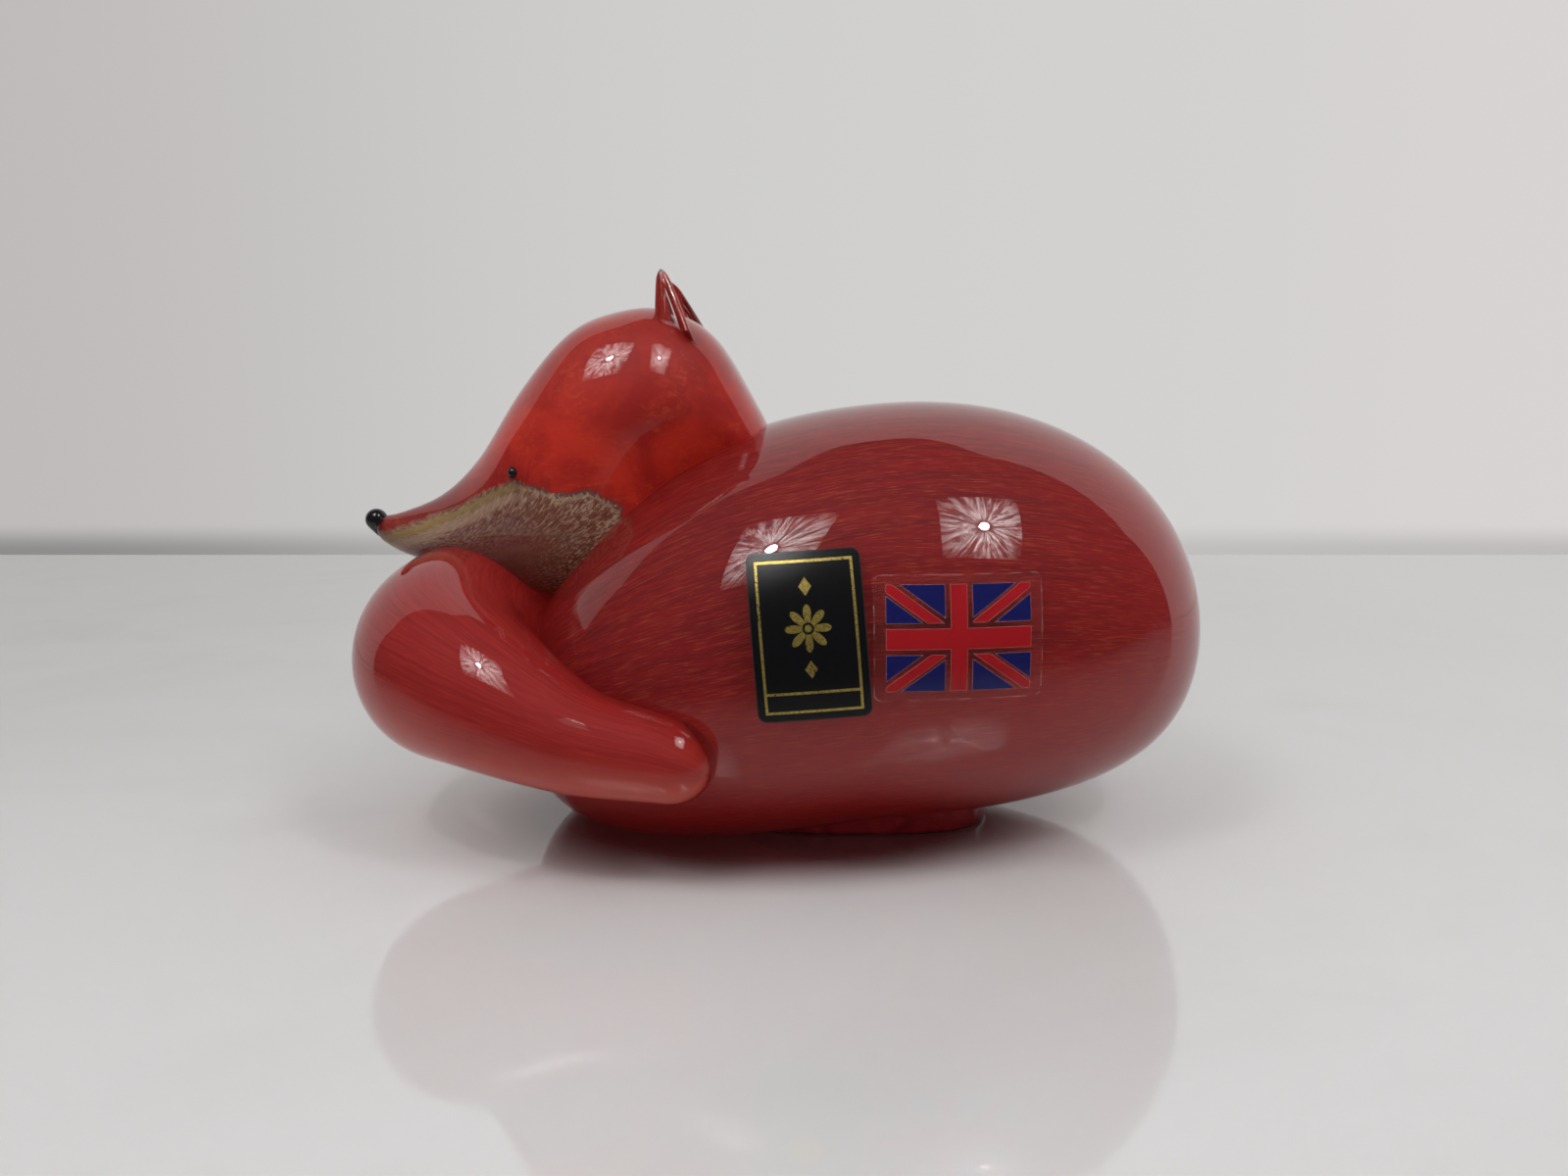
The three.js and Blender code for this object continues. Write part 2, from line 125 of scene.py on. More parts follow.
@dataclass(frozen=True)
class Ring:
    """One cross-section of a form: its middle, its two axes and its half sizes along them.

    Its fullness is 2 for an ellipse and more where the shoulders stand out. Its undercut is the
    share of its width that it loses low down.
    """

    centre: Vector
    side: Vector
    up: Vector
    half_width: float
    half_height: float
    fullness: float = 2.0
    undercut: float = 0.0
    undercut_rise: Span = (-0.5, 0.35)

    def narrowed(self, level: float) -> float:
        """The half width that the undercut leaves at a level, -1 at the foot and 1 at the top."""
        return self.half_width * (1 - self.undercut * smooth_step(*self.undercut_rise, -level))

    def at(self, angle: float) -> Vector:
        """The point of the ring at an angle.

        Args:
            angle: The angle from its side axis.

        Returns:
            The point.
        """
        power = 2 / self.fullness
        level = signed_power(math.sin(angle), power)
        across = self.side * (self.narrowed(level) * signed_power(math.cos(angle), power))
        return self.centre + across + self.up * (self.half_height * level)


@dataclass(frozen=True)
class BodyForm:
    """The long egg of the body. Heights are shares of its half height."""

    half_length: float = 54.2
    half_width: float = 41.0
    half_height: float = 33.7
    middle: float = 0.985
    rise: float = 0.187
    arch: float = 0.252
    fullness: float = 2.42
    core_lift: float = 1.2

    def centre_height(self, t: float) -> float:
        """Height of the centre line at t, from -1 at the left end to 1 at the rump."""
        return self.half_height * (self.middle + self.rise * t - self.arch * t * t)

    def ring(self, u: float, wall: float = 0.0) -> Ring:
        """The body's cross-section.

        Args:
            u: 0 at the left end, 1 at the rump.
            wall: How deep under the skin.

        Returns:
            The ring at u.
        """
        angle = (u - 0.5) * math.pi
        power = 2 / self.fullness
        t = signed_power(math.sin(angle), power)
        share = max(0.0, math.cos(angle)) ** power
        z = self.centre_height(t) + (self.core_lift if wall > 0 else 0.0)
        centre = Vector(((self.half_length - wall) * t, 0, z))
        half_width, half_height = self.half_width - wall, self.half_height - wall
        return Ring(centre, ACROSS, UP, half_width * share, half_height * share)

    def depth(self, point: Vector) -> float:
        """Roughly how deep a point is under the skin.

        Args:
            point: The point.

        Returns:
            Its depth, below 0 outside the skin.
        """
        t = point.x / self.half_length
        share = max(0.0, 1 - abs(t) ** self.fullness) ** (1 / self.fullness)
        if share == 0:
            return -self.half_height
        high = (point.z - self.centre_height(t)) / (self.half_height * share)
        reach = math.hypot(point.y / (self.half_width * share), high)
        return (1 - reach) * self.half_height * share

    def near_flank(self, x: float, z: float, grow: float = 0.0) -> float:
        """The y of the near flank.

        Args:
            x: The place along the body.
            z: The height.
            grow: How far the flank is moved out.

        Returns:
            The y of the flank there.
        """
        t = clamp(x / (self.half_length + grow), -1, 1)
        share = (1 - abs(t) ** self.fullness) ** (1 / self.fullness)
        high = (z - self.centre_height(t)) / ((self.half_height + grow) * share)
        return -(self.half_width + grow) * share * math.sqrt(max(0.0, 1 - high * high))


BODY = BodyForm()


@dataclass(frozen=True)
class HeadForm:
    """The head, from the snout to the neck, from stations of x, top, under side and half width."""

    plane_y: float = 0.024 * BODY.half_width
    snout_round: float = 2.2
    neck_round: float = 6.6
    brow: float = 0.8
    neck_undercut: float = 0.38
    neck_thinning: float = 0.6
    snout_core: float = 0.83
    snout_scale: float = 10.0
    snout_glass: float = 0.7
    front_half: float = 0.5
    thins_along: Span = (0.5, 0.8)
    brow_rises: Span = (0.26, 0.48)
    brow_falls: Span = (0.8, 1.0)
    undercut_along: Span = (0.42, 0.76)
    halvings: int = 24
    stations: tuple[tuple[float, ...], ...] = (
        (-1.46, 1.446, 1.345, 0.054),
        (-1.38, 1.47, 1.268, 0.09),
        (-1.25, 1.562, 1.195, 0.155),
        (-1.13, 1.745, 1.14, 0.243),
        (-0.99, 2.065, 1.089, 0.366),
        (-0.845, 2.318, 1.056, 0.472),
        (-0.715, 2.415, 1.047, 0.503),
        (-0.57, 2.43, 1.068, 0.485),
        (-0.422, 2.3, 1.142, 0.385),
        (-0.293, 1.965, 1.246, 0.28),
        (-0.2, 1.665, 1.335, 0.18),
    )

    def column(self, index: int, s: float) -> float:
        """One column of the stations at s, as a share of the body."""
        return curve_at([row[index] for row in self.stations], s)

    def ring(self, u: float, wall: float = 0.0) -> Ring:
        """The head's cross-section.

        Args:
            u: 0 at the snout, 1 at the neck.
            wall: How deep under the skin.

        Returns:
            The ring at u.
        """
        s = eased_along(u)
        length = (self.stations[-1][0] - self.stations[0][0]) * BODY.half_length
        x = self.column(0, s) * BODY.half_length
        top, under = (self.column(i, s) * BODY.half_height for i in (1, 2))
        half_width = self.column(3, s) * BODY.half_width
        snout = rounded_off(s * length, self.snout_round)
        ends = min(snout, rounded_off((1 - s) * length, self.neck_round))
        wall *= 1 - self.neck_thinning * smooth_step(*self.thins_along, s)
        half_height = (top - under) / 2
        thinnest = min(half_height, half_width) * ends
        left = ends * (1 - wall / thinnest) if thinnest > wall else 0.0
        if wall and s < self.front_half:
            left = max(left, ends * (self.snout_core - wall / self.snout_scale))
            x += self.snout_glass * (1 - 2 * s)
        centre = Vector((x, self.plane_y, (top + under) / 2))
        brow = smooth_step(*self.brow_rises, s) * (1 - smooth_step(*self.brow_falls, s))
        full = 2 + self.brow * brow
        undercut = self.neck_undercut * smooth_step(*self.undercut_along, s)
        return Ring(centre, ACROSS, UP, half_width * left, half_height * left, full, undercut)

    @lru_cache(maxsize=1)
    def slices(self) -> list[Ring]:
        """Many rings of the skin, from snout to neck."""
        return [self.ring(i / SLICES) for i in range(SLICES + 1)]

    def depth(self, point: Vector) -> float:
        """Roughly how deep a point is under the skin.

        Args:
            point: The point.

        Returns:
            Its depth, below 0 outside the skin.
        """
        rings = self.slices()
        if not rings[0].centre.x < point.x < rings[-1].centre.x:
            return -self.neck_round
        i = bisect(rings, point.x, key=lambda ring: ring.centre.x)
        a, b = rings[i - 1], rings[min(i, len(rings) - 1)]
        w = (point.x - a.centre.x) / max(1e-6, b.centre.x - a.centre.x)
        half_width = a.half_width + (b.half_width - a.half_width) * w
        half_height = a.half_height + (b.half_height - a.half_height) * w
        if half_width <= 0 or half_height <= 0:
            return -self.neck_round
        centre = a.centre.lerp(b.centre, w)
        level = (point.z - centre.z) / half_height
        narrowed = half_width * a.narrowed(level) / a.half_width if a.half_width > 0 else half_width
        across = abs(point.y - centre.y) / narrowed
        reach = (across**a.fullness + abs(level) ** a.fullness) ** (1 / a.fullness)
        return (1 - reach) * min(half_width, half_height)

    @lru_cache(maxsize=8)
    def ring_at(self, x: float) -> Ring:
        """The ring of the skin at a given x, found by halving the stretch that holds it.

        Args:
            x: The place along the head.

        Returns:
            The ring there.
        """
        low, high = 0.0, 1.0
        for _ in range(self.halvings):
            middle = (low + high) / 2
            if self.ring(middle).centre.x < x:
                low = middle
            else:
                high = middle
        return self.ring(low)


@dataclass(frozen=True)
class TailForm:
    """The fat teardrop of the tail, from stations of x, y, z and radius, root to tip."""

    root_round: float = 6.0
    tip_round: float = 6.2
    core_end: float = 0.962
    core_sag: Triple = (0.0, -0.7, -1.0)
    sags_along: Span = (0.84, 0.98)
    length: float = 142.0
    step: float = 0.004
    stations: tuple[tuple[float, ...], ...] = (
        (-0.593, 0.732, 0.801, 0.237),
        (-0.833, 0.634, 0.846, 0.312),
        (-1.04, 0.329, 0.89, 0.371),
        (-1.173, -0.073, 0.89, 0.436),
        (-1.162, -0.415, 0.828, 0.422),
        (-1.016, -0.671, 0.76, 0.335),
        (-0.772, -0.835, 0.62, 0.231),
        (-0.54, -0.902, 0.562, 0.186),
        (-0.392, -0.912, 0.535, 0.17),
    )

    def middle(self, s: float) -> Vector:
        """The middle line.

        Args:
            s: How far along the tail, from 0 to 1.

        Returns:
            The line's point there.
        """
        scales = (BODY.half_length, BODY.half_width, BODY.half_height)
        columns = ([row[i] for row in self.stations] for i in range(3))
        return Vector([k * curve_at(c, s) for c, k in zip(columns, scales, strict=True)])

    def ring(self, u: float, wall: float = 0.0) -> Ring:
        """The tail's cross-section.

        Args:
            u: 0 at the root, 1 at the tip.
            wall: How deep under the skin.

        Returns:
            The ring at u.
        """
        last = self.core_end if wall else 1.0
        s = eased_along(u) * last
        ahead, behind = min(1.0, s + self.step), max(0.0, s - self.step)
        heading = (self.middle(ahead) - self.middle(behind)).normalized()
        side = UP.cross(heading).normalized()
        root = rounded_off(s * self.length, self.root_round)
        centre = self.middle(s)
        ends = min(root, rounded_off((self.middle(last) - centre).length, self.tip_round))
        radius = (curve_at([row[3] for row in self.stations], s) * BODY.half_height - wall) * ends
        if wall:
            centre += Vector(self.core_sag) * smooth_step(*self.sags_along, s)
        return Ring(centre, side, heading.cross(side), radius, radius)

    @lru_cache(maxsize=1)
    def slices(self) -> tuple[list[Ring], kdtree.KDTree]:
        """Cuts the tail into many rings.

        Returns:
            The rings of the skin, and their middles for a quick search.
        """
        rings = [self.ring(i / SLICES) for i in range(SLICES + 1)]
        tree = kdtree.KDTree(len(rings))
        for i, ring in enumerate(rings):
            tree.insert(ring.centre, i)
        tree.balance()
        return rings, tree

    def depth(self, point: Vector) -> float:
        """Roughly how deep a point is under the skin.

        Args:
            point: The point.

        Returns:
            Its depth, below 0 outside the skin.
        """
        rings, tree = self.slices()
        _, i, distance = tree.find(point)
        return rings[i].half_height - distance


HEAD = HeadForm()
TAIL = TailForm()
RingMaker = Callable[[float, float], Ring]
DepthOf = Callable[[Vector], float]
MIDDLING = 0.8


def stretch_inside(ring: RingMaker, wall: float) -> Span:
    """The stretch of a form in which its rings have a size inside the wall.

    Args:
        ring: The form.
        wall: How deep under the form's skin.

    Returns:
        The first and the last u of the stretch.
    """
    inside = [i for i in range(SLICES + 1) if ring(i / SLICES, wall).half_height > 0]
    return max(0, inside[0] - 1) / SLICES, min(SLICES, inside[-1] + 1) / SLICES


def closed_form(ring: RingMaker, along: int, around: int, wall: float = 0.0) -> BMesh:
    """A ball whose circles of latitude are laid on the rings of a form.

    Args:
        ring: The form.
        along: Steps from end to end.
        around: Steps round each ring.
        wall: How deep under the form's skin.

    Returns:
        A mesh in millimetres. Its vector attribute "flow" holds how far along the form a point
        is, and where it is round a ring of middling size, so that streaks can follow the form.
    """
    bm = bmesh.new()
    flow = bm.verts.layers.float_vector.new("flow")
    bmesh.ops.create_uvsphere(bm, u_segments=around, v_segments=along, radius=1.0)
    first, last = stretch_inside(ring, wall)
    rings = [ring(first + (last - first) * i / along, wall) for i in range(along + 1)]
    travelled = [0.0]
    for a, b in zip(rings, rings[1:], strict=False):
        widening = (a.half_width + a.half_height - b.half_width - b.half_height) / 2
        travelled.append(travelled[-1] + math.hypot((a.centre - b.centre).length, widening))
    middling = max(r.half_height for r in rings) * MIDDLING
    for vert in bm.verts:
        latitude = math.acos(clamp(vert.co.z, -1, 1)) / math.pi
        i = round(latitude * along)
        angle = math.atan2(vert.co.y, vert.co.x)
        vert.co = rings[i].at(angle) if 0 < i < along else rings[i].centre
        around_it = (middling * math.cos(angle), middling * math.sin(angle))
        vert[flow] = Vector((travelled[i], *around_it))
    face_outwards(bm)
    return bm


def inside_outline(point: Vector, outline: Sequence[Vector]) -> float:
    """How far a point is inside a closed outline.

    Args:
        point: A point of the plane.
        outline: The outline's corners in order.

    Returns:
        The distance to the outline, below 0 for a point outside it.
    """
    nearest, inside = math.inf, False
    for a, b in zip(outline, [*outline[1:], outline[0]], strict=True):
        span = b - a
        share = clamp((point - a).dot(span) / span.length_squared)
        nearest = min(nearest, (point - a - span * share).length)
        if (a.y > point.y) != (b.y > point.y):
            crossing = a.x + span.x * (point.y - a.y) / span.y
            inside = inside != (point.x < crossing)
    return nearest if inside else -nearest


def cut_away_inside(bm: BMesh, depth: DepthOf, lap: float = 0.12) -> None:
    """Removes the part of a skin that lies inside another form, where the glass is fused.

    Args:
        bm: The skin.
        depth: How deep a point is in the other form.
        lap: How deep the skin still reaches into it.
    """
    deep = {vert: depth(vert.co) - lap for vert in bm.verts}
    cuts = []
    for edge in bm.edges[:]:
        a, b = edge.verts
        if (deep[a] > 0) != (deep[b] > 0):
            _, vert = bmesh.utils.edge_split(edge, a, deep[a] / (deep[a] - deep[b]))
            cuts.append(vert)
    if cuts:
        bmesh.ops.connect_verts(bm, verts=cuts)
    gone = [vert for vert, value in deep.items() if value > 0]
    bmesh.ops.delete(bm, geom=gone, context="VERTS")


def face_outwards(bm: BMesh) -> None:
    """Turns the faces of a closed mesh outwards.

    Args:
        bm: The mesh.
    """
    bmesh.ops.recalc_face_normals(bm, faces=bm.faces)
    if bm.calc_volume(signed=True) < 0:
        bmesh.ops.reverse_faces(bm, faces=bm.faces)


def new_object(name: str, bm: BMesh, material: bpy.types.Material) -> bpy.types.Object:
    """Turns a mesh in millimetres into an object of the scene.

    Args:
        name: The object's name.
        bm: Its mesh, which is freed.
        material: Its finish.

    Returns:
        The object.
    """
    bmesh.ops.scale(bm, vec=(MM, MM, MM), verts=bm.verts)
    mesh = bpy.data.meshes.new(name)
    bm.to_mesh(mesh)
    bm.free()
    mesh.materials.append(material)
    made = bpy.data.objects.new(name, mesh)
    bpy.context.scene.collection.objects.link(made)
    return made


def finish_piece(
    name: str, bm: BMesh, material: bpy.types.Material, slot: str, *nodes: str
) -> None:
    """Turns a mesh in millimetres into a finished piece.

    Args:
        name: The piece's name.
        bm: Its mesh, which is freed.
        material: Its finish.
        slot: The record's material slot of the nodes; it is not used.
        *nodes: The nodes of the frame that it stands for.
    """
    for face in bm.faces:
        face.smooth = True
    piece = new_object(name, bm, material)
    piece.data.set_sharp_from_angle(angle=SHARP)
    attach(piece, "root")
    if nodes:
        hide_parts(*nodes)
    stood_for = ", ".join(nodes) or "nothing"
    LOG.info("%s: %d faces, stands for %s", name, len(piece.data.polygons), stood_for)


# Nodes of the finishes


def linear(red: float, green: float, blue: float) -> Colour:
    """A colour given by its share of red, green and blue light."""
    return (red, green, blue, 1.0)


BLACK = linear(0.0, 0.0, 0.0)


def add_node(
    tree: Tree, kind: str, inputs: Inputs | None = None, **settings: object
) -> bpy.types.Node:
    """Adds a node to a tree.

    Args:
        tree: The tree.
        kind: The node's type name.
        inputs: By socket name or number, what goes in: another node's socket, or a value.
        **settings: The node's own settings.

    Returns:
        The node.
    """
    node = tree.nodes.new(kind)
    for name, value in settings.items():
        setattr(node, name, value)
    for name, value in (inputs or {}).items():
        if isinstance(value, Socket):
            tree.links.new(value, node.inputs[name])
        else:
            node.inputs[name].default_value = value
    return node


def maths(tree: Tree, operation: str, a: Value, b: Value = 0.0, c: Value = 0.0) -> Socket:
    """The result of a Math node."""
    return add_node(tree, "ShaderNodeMath", {0: a, 1: b, 2: c}, operation=operation).outputs[0]


def product(tree: Tree, *factors: Value) -> Socket:
    """The product of two or more values."""
    return reduce(lambda a, b: maths(tree, "MULTIPLY", a, b), factors)


def most(tree: Tree, *values: Value) -> Socket:
    """The largest of two or more values."""
    return reduce(lambda a, b: maths(tree, "MAXIMUM", a, b), values)


def scaled(tree: Tree, value: Value, by: Value, start: Value) -> Socket:
    """A value times a number, plus where it starts. Where both are fixed, they are a Slope."""
    return maths(tree, "MULTIPLY_ADD", value, by, start)


def size_of(tree: Tree, value: Value) -> Socket:
    """A value without its sign."""
    return maths(tree, "ABSOLUTE", value)


def mixed(tree: Tree, factor: Value, a: Value, b: Value) -> Socket:
    """The colour a, turned into b by the factor."""
    return add_node(tree, "ShaderNodeMix", {0: factor, 6: a, 7: b}, data_type="RGBA").outputs[2]


def stepped(tree: Tree, value: Value, low: float, high: float) -> Socket:
    """A smooth rise from 0 at low to 1 at high, a Span. With low above high it falls instead."""
    inputs = {0: value, 1: low, 2: high, 3: 0.0, 4: 1.0}
    return add_node(tree, "ShaderNodeMapRange", inputs, interpolation_type="SMOOTHSTEP").outputs[0]


def between(tree: Tree, value: Value, low: float, high: float, soft: float) -> Socket:
    """1 where a value lies between low and high, with soft ends."""
    above = stepped(tree, value, low - soft, low + soft)
    return product(tree, above, stepped(tree, value, high + soft, high - soft))


def within(tree: Tree, value: Value, limit: float, soft: float) -> Socket:
    """1 where a value is below a limit, with a soft end."""
    return stepped(tree, value, limit + soft, limit - soft)


def beyond(tree: Tree, value: Value, limit: float, soft: float) -> Socket:
    """1 where a value is above a limit, with a soft end."""
    return stepped(tree, value, limit - soft, limit + soft)


def vector_maths(tree: Tree, operation: str, *vectors: Value) -> bpy.types.Node:
    """A Vector Math node."""
    return add_node(tree, "ShaderNodeVectorMath", dict(enumerate(vectors)), operation=operation)


def stretched(tree: Tree, vector: Socket, by: Triple, shift: Triple = (0, 0, 0)) -> Socket:
    """A vector, multiplied by a number along each axis and then moved."""
    return vector_maths(tree, "MULTIPLY_ADD", vector, by, shift).outputs[0]


def length_of(tree: Tree, vector: Socket) -> Socket:
    """A vector's length."""
    return vector_maths(tree, "LENGTH", vector).outputs["Value"]


def split(tree: Tree, vector: Socket) -> Sequence[Socket]:
    """A vector's x, y and z."""
    return add_node(tree, "ShaderNodeSeparateXYZ", {0: vector}).outputs


def joined(tree: Tree, *parts: Value) -> Socket:
    """A vector from its x, y and z."""
    return add_node(tree, "ShaderNodeCombineXYZ", dict(enumerate(parts))).outputs[0]


def place_on_object(tree: Tree) -> Socket:
    """The point's place on its object, in metres."""
    return add_node(tree, "ShaderNodeTexCoord").outputs["Object"]


def place_in_mm(tree: Tree) -> Socket:
    """The point's place on its object, in millimetres."""
    return stretched(tree, place_on_object(tree), (1 / MM,) * 3)


def attribute(tree: Tree, name: str, output: str = "Vector") -> Socket:
    """An attribute of the piece."""
    return add_node(tree, "ShaderNodeAttribute", attribute_name=name).outputs[output]


def seen_as(tree: Tree, ray: str) -> Socket:
    """1 for one kind of ray, 0 for the others."""
    return add_node(tree, "ShaderNodeLightPath").outputs[ray]


def bumped(tree: Tree, height: Socket, strength: float, rise: float) -> Socket:
    """The normal of a surface raised by a height. A Relief is how strongly, and how many mm."""
    inputs = {"Height": height, "Strength": strength, "Distance": rise * MM}
    return add_node(tree, "ShaderNodeBump", inputs).outputs[0]


def principled(tree: Tree, inputs: Inputs) -> Socket:
    """The shader of a surface."""
    return add_node(tree, "ShaderNodeBsdfPrincipled", inputs).outputs[0]


def glowing(tree: Tree, colour: Value, strength: Value = 1.0) -> Socket:
    """The shader of a surface that gives light."""
    inputs = {"Color": colour, "Strength": strength}
    return add_node(tree, "ShaderNodeEmission", inputs).outputs[0]


def either(tree: Tree, share: Socket, first: Socket, second: Socket) -> Socket:
    """The first shader, turned into the second one by a share."""
    return add_node(tree, "ShaderNodeMixShader", {0: share, 1: first, 2: second}).outputs[0]


@dataclass(frozen=True)
class Cloud:
    """Cloudy noise. Over a vector in millimetres, its scale is blobs to the millimetre."""

    scale: Value
    detail: float = 2.0
    rough: float = 0.5
    warp: float = 0.0

    def over(self, tree: Tree, vector: Socket) -> Socket:
        """The noise over a vector, from 0 to 1 and mostly near 0.5.

        Args:
            tree: The tree that it is drawn in.
            vector: The place.

        Returns:
            The noise.
        """
        return add_node(tree, "ShaderNodeTexNoise", {
            "Vector": vector, "Scale": self.scale, "Detail": self.detail,
            "Roughness": self.rough, "Distortion": self.warp,
        }).outputs[0]


@dataclass(frozen=True)
class Wash:
    """A colour laid on as a value goes from where it starts to where it is full."""

    colour: Colour
    starts: float
    full: float
    share: float = 1.0

    def over(self, tree: Tree, colour: Value, value: Socket, *masks: Socket) -> Socket:
        """Lays the wash over another colour.

        Args:
            tree: The tree that it is laid on in.
            colour: The colour under it.
            value: What decides how far it is laid on.
            *masks: What holds it back too.

        Returns:
            The colour with the wash over it.
        """
        factors = [stepped(tree, value, self.starts, self.full), *masks]
        if self.share < 1:
            factors.append(self.share)
        return mixed(tree, product(tree, *factors), colour, self.colour)


class EffectGroup(Enum):
    """Effects that several finishes share, each as a node group of its own."""

    STREAKS = "drawn streaks"
    SPECKS = "specks in the glass"
    HANDLING = "smears and dust"


GROUP_INPUTS = {
    EffectGroup.STREAKS: {"Flow": "Vector", "Length": "Float", "Width": "Float"},
    EffectGroup.SPECKS: {"Place": "Vector", "Spacing": "Float", "Size": "Float"},
    EffectGroup.HANDLING: {
        "Place": "Vector", "Clean": "Float", "Smeared": "Float", "Waves": "Float",
    },
}
GROUP_OUTPUTS = {
    EffectGroup.STREAKS: ("Fine", "Broad"),
    EffectGroup.SPECKS: ("Mask",),
    EffectGroup.HANDLING: ("Roughness", "Height"),
}
SWAY = Cloud(0.05, 1.0)
FINE_FIBRES = Cloud(1.0, 4.0, 0.62, 0.15)
BROAD_BANDS = Cloud(0.21, 3.0, 0.55)
EMPTY_CELLS = 0.72
SMEARS = Cloud(0.06, 4.0, 0.6, 1.2)
SMEAR_EDGE = (0.5, 0.75)


def drawn_streaks(tree: Tree, flow: Socket, length: Socket, width: Socket) -> tuple[Socket, ...]:
    """Fine fibres and broad bands of colour, drawn out along the glass as it was worked.

    Args:
        tree: The group's tree.
        flow: The place along and round the form.
        length: How long a fibre is.
        width: How wide a fibre is.

    Returns:
        The fibres and the bands.
    """
    along, across = maths(tree, "DIVIDE", 1.0, length), maths(tree, "DIVIDE", 1.0, width)
    by = joined(tree, along, across, across)
    swayed = vector_maths(tree, "ADD", flow, SWAY.over(tree, flow)).outputs[0]
    drawn = vector_maths(tree, "MULTIPLY", swayed, by).outputs[0]
    return FINE_FIBRES.over(tree, drawn), BROAD_BANDS.over(tree, drawn)


def rare_specks(tree: Tree, place: Socket, spacing: Socket, size: Socket) -> tuple[Socket, ...]:
    """Rare small specks: in some of the cells of a honeycomb, a dot at the cell's middle.

    Args:
        tree: The group's tree.
        place: The place on the piece.
        spacing: How far apart the cells are.
        size: A speck's radius.

    Returns:
        The mask of the specks.
    """
    scale = maths(tree, "DIVIDE", 1.0, spacing)
    cells = add_node(tree, "ShaderNodeTexVoronoi", {"Vector": place, "Scale": scale}).outputs
    dot = maths(tree, "LESS_THAN", cells["Distance"], maths(tree, "DIVIDE", size, spacing))
    chosen = add_node(tree, "ShaderNodeSeparateColor", {0: cells["Color"]}).outputs[0]
    return (product(tree, dot, maths(tree, "GREATER_THAN", chosen, EMPTY_CELLS)),)


def handled(
    tree: Tree, place: Socket, clean: Socket, smeared: Socket, waves: Socket
) -> tuple[Socket, ...]:
    """Faint smears left by hands, and the slow waviness of a surface shaped while hot.

    Args:
        tree: The group's tree.
        place: The place on the piece.
        clean: The roughness between the smears.
        smeared: The roughness in a smear.
        waves: Waves to the millimetre.

    Returns:
        The roughness and the height.
    """
    smear = stepped(tree, SMEARS.over(tree, place), *SMEAR_EDGE)
    roughness = scaled(tree, smear, maths(tree, "SUBTRACT", smeared, clean), clean)
    return roughness, Cloud(waves, 1.0).over(tree, place)


GROUP_MAKERS = {
    EffectGroup.STREAKS: drawn_streaks,
    EffectGroup.SPECKS: rare_specks,
    EffectGroup.HANDLING: handled,
}


def effect(tree: Tree, kind: EffectGroup, *values: Value) -> Sequence[Socket]:
    """Places a shared effect in a finish.

    Args:
        tree: The finish's tree.
        kind: Which effect.
        *values: The effect's inputs in their order.

    Returns:
        The effect's outputs.
    """
    group = bpy.data.node_groups.get(kind.value)
    if group is None:
        group = bpy.data.node_groups.new(kind.value, "ShaderNodeTree")
        for name, carried in GROUP_INPUTS[kind].items():
            socket_type = f"NodeSocket{carried}"
            group.interface.new_socket(name, in_out="INPUT", socket_type=socket_type)
        for name in GROUP_OUTPUTS[kind]:
            group.interface.new_socket(name, in_out="OUTPUT", socket_type="NodeSocketFloat")
        given = group.nodes.new("NodeGroupInput").outputs
        result = group.nodes.new("NodeGroupOutput").inputs
        made = GROUP_MAKERS[kind](group, *(given[name] for name in GROUP_INPUTS[kind]))
        for name, socket in zip(GROUP_OUTPUTS[kind], made, strict=True):
            group.links.new(socket, result[name])
    inputs = dict(zip(GROUP_INPUTS[kind], values, strict=True))
    return add_node(tree, "ShaderNodeGroup", inputs, node_tree=group).outputs


# Finishes

CORE_GLOSS = 0.15


@dataclass(frozen=True, kw_only=True)
class Finish:
    """A finish of the fox or of its studio, whose subclasses each have a shader of their own."""

    name: str

    def build(self) -> bpy.types.Material:
        """Makes the material.

        Returns:
            The material.
        """
        material = bpy.data.materials.new(self.name)
        material.use_nodes = True
        tree = material.node_tree
        tree.nodes.clear()
        out = tree.nodes.new("ShaderNodeOutputMaterial")
        tree.links.new(self.shader(tree), out.inputs["Surface"])
        return material

    def shader(self, tree: Tree) -> Socket:
        """The finish's shader, drawn in its material's tree."""
        raise NotImplementedError


class Bends(Enum):
    """Which rays a glass bends. The others pass it straight, so that it throws no dark shadow."""

    WHAT_IS_LOOKED_AT = "camera and glossy rays"
    ALL_BUT_LAMPLIGHT = "all rays but shadow rays"


